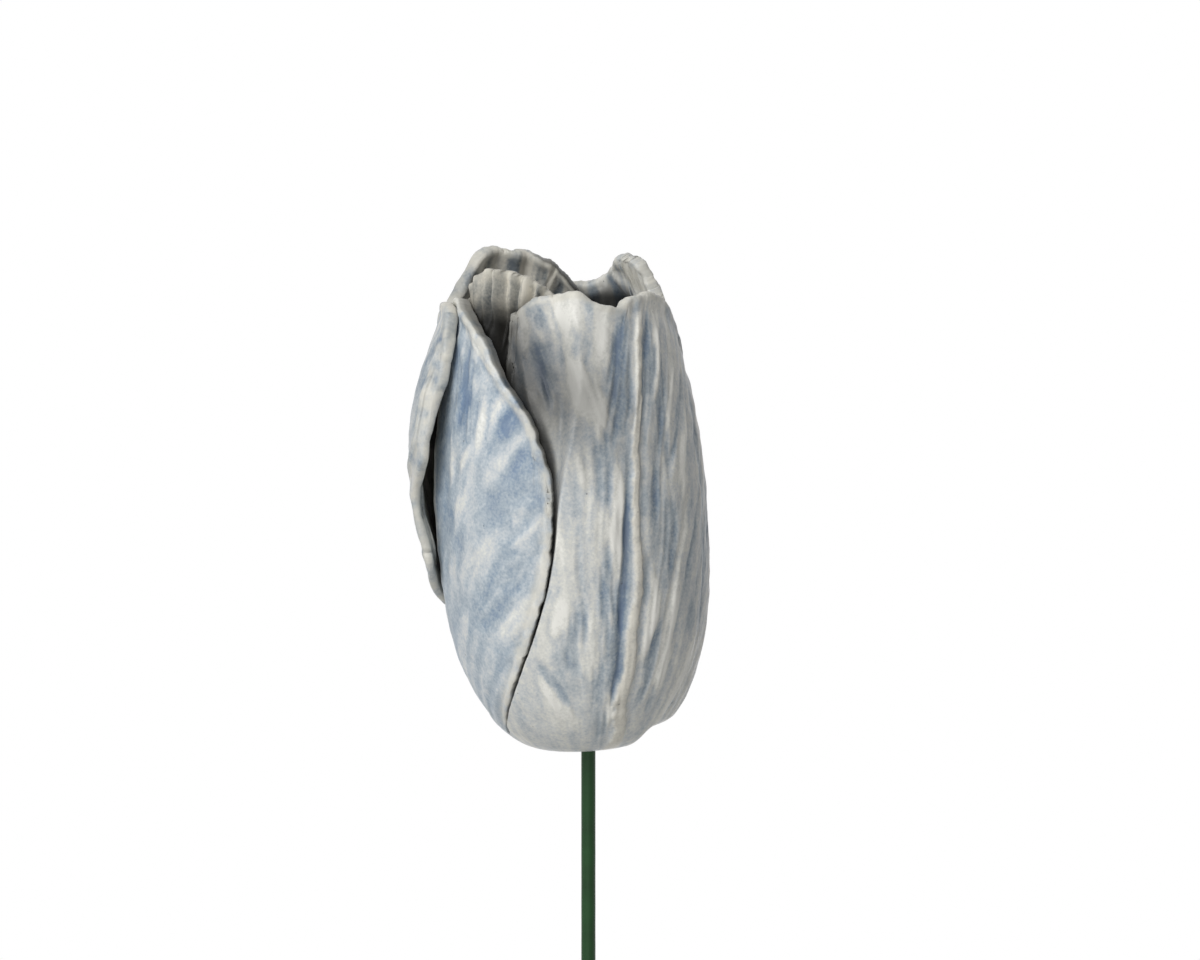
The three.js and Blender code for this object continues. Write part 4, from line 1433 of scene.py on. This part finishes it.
# %% Floor
FLOOR_SIZE = 0.6
corner = FLOOR_SIZE / 2
corners = [(-corner, -corner, 0), (corner, -corner, 0), (corner, corner, 0), (-corner, corner, 0)]
floor_mesh = bpy.data.meshes.new("floor")
floor_mesh.from_pydata(corners, [], [(0, 1, 2, 3)])
floor_mesh.materials.append(Nodes("floor_paint").finish(Base_Color=colour(240, 240, 238), Roughness=0.7))
floor = bpy.data.objects.new("floor", floor_mesh)
bpy.context.scene.collection.objects.link(floor)
floor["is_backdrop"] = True
print("floor of", FLOOR_SIZE, "m")

# %% Lights
# Each light is its azimuth and elevation in degrees, its distance and size in m, and its power in W.
LIGHTS = {
    "key": (-34, 32, 1.0, 0.7, 6.6),
    "left": (-62, 10, 1.1, 0.8, 1.7),
    "fill": (30, 15, 1.1, 0.8, 0.5),
    "low": (-10, -25, 1.1, 0.8, 2.0),
    "rear": (150, 50, 1.0, 0.6, 0.8),
    "sparkle": (-25, 55, 1.0, 0.04, 1.4),
}


def soft_light(name, azimuth, elevation, distance, size, power):
    """A square area light that looks at the middle of the flower."""
    lamp = bpy.data.lights.new(name, "AREA")
    lamp.size = size
    lamp.energy = power
    side, lift = math.radians(azimuth), math.radians(elevation)
    back = Vector((math.sin(side) * math.cos(lift), -math.cos(side) * math.cos(lift), math.sin(lift)))
    target = Vector((0, 0, (FLOWER_BASE + WIDEST_HEIGHT) * MM))
    holder = bpy.data.objects.new(name, lamp)
    holder.location = target + back * distance
    holder.rotation_mode = "QUATERNION"
    holder.rotation_quaternion = (-back).to_track_quat("-Z", "Y")
    bpy.context.scene.collection.objects.link(holder)


for name, setting in LIGHTS.items():
    soft_light(name, *setting)
print(len(LIGHTS), "lights")

# %% World
AMBIENT = 0.2
world = bpy.data.worlds.new("studio")
bpy.context.scene.world = world
world.use_nodes = True
tree = world.node_tree
ray = tree.nodes.new("ShaderNodeLightPath")
seen = ray.outputs["Is Camera Ray"]
for kind in ("Is Glossy Ray", "Is Transmission Ray"):
    either = tree.nodes.new("ShaderNodeMath")
    either.operation = "MAXIMUM"
    tree.links.new(seen, either.inputs[0])
    tree.links.new(ray.outputs[kind], either.inputs[1])
    seen = either.outputs[0]
level = tree.nodes.new("ShaderNodeMapRange")
level.inputs["To Min"].default_value = AMBIENT
level.inputs["To Max"].default_value = 1.0
tree.links.new(seen, level.inputs["Value"])
tree.links.new(level.outputs[0], tree.nodes["Background"].inputs["Strength"])
tree.nodes["Background"].inputs["Color"].default_value = (1, 1, 1, 1)
print("the world lights the flower with a strength of", AMBIENT)

# %% Camera
ELEVATION = 9.0
DISTANCE = 1.2
PIXELS_PER_MM = 7.2
IMAGE_WIDTH = 1200
AIM_RIGHT = 1.625
AIM_HEIGHT = 37.1
SENSOR_WIDTH = 36.0
camera_data = bpy.data.cameras.new("camera")
camera_data.sensor_width = SENSOR_WIDTH
camera_data.lens = SENSOR_WIDTH * DISTANCE / (IMAGE_WIDTH / PIXELS_PER_MM * MM)
camera_data.clip_start = 0.01
camera_data.clip_end = 20.0
camera = bpy.data.objects.new("camera", camera_data)
tilt = math.radians(ELEVATION)
away = Vector((0, -math.cos(tilt), math.sin(tilt)))
camera.location = Vector((AIM_RIGHT, 0, FLOWER_BASE + AIM_HEIGHT)) * MM + away * DISTANCE
camera.rotation_mode = "QUATERNION"
camera.rotation_quaternion = (-away).to_track_quat("-Z", "Y")
bpy.context.scene.collection.objects.link(camera)
bpy.context.scene.camera = camera
bpy.context.scene.view_settings.view_transform = "Standard"
print("lens", round(camera_data.lens, 1), "mm at", DISTANCE, "m")

# %% Size of what is shown
low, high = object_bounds()
print("visual box in mm:", [round(v / MM, 1) for v in (*low, *high)])
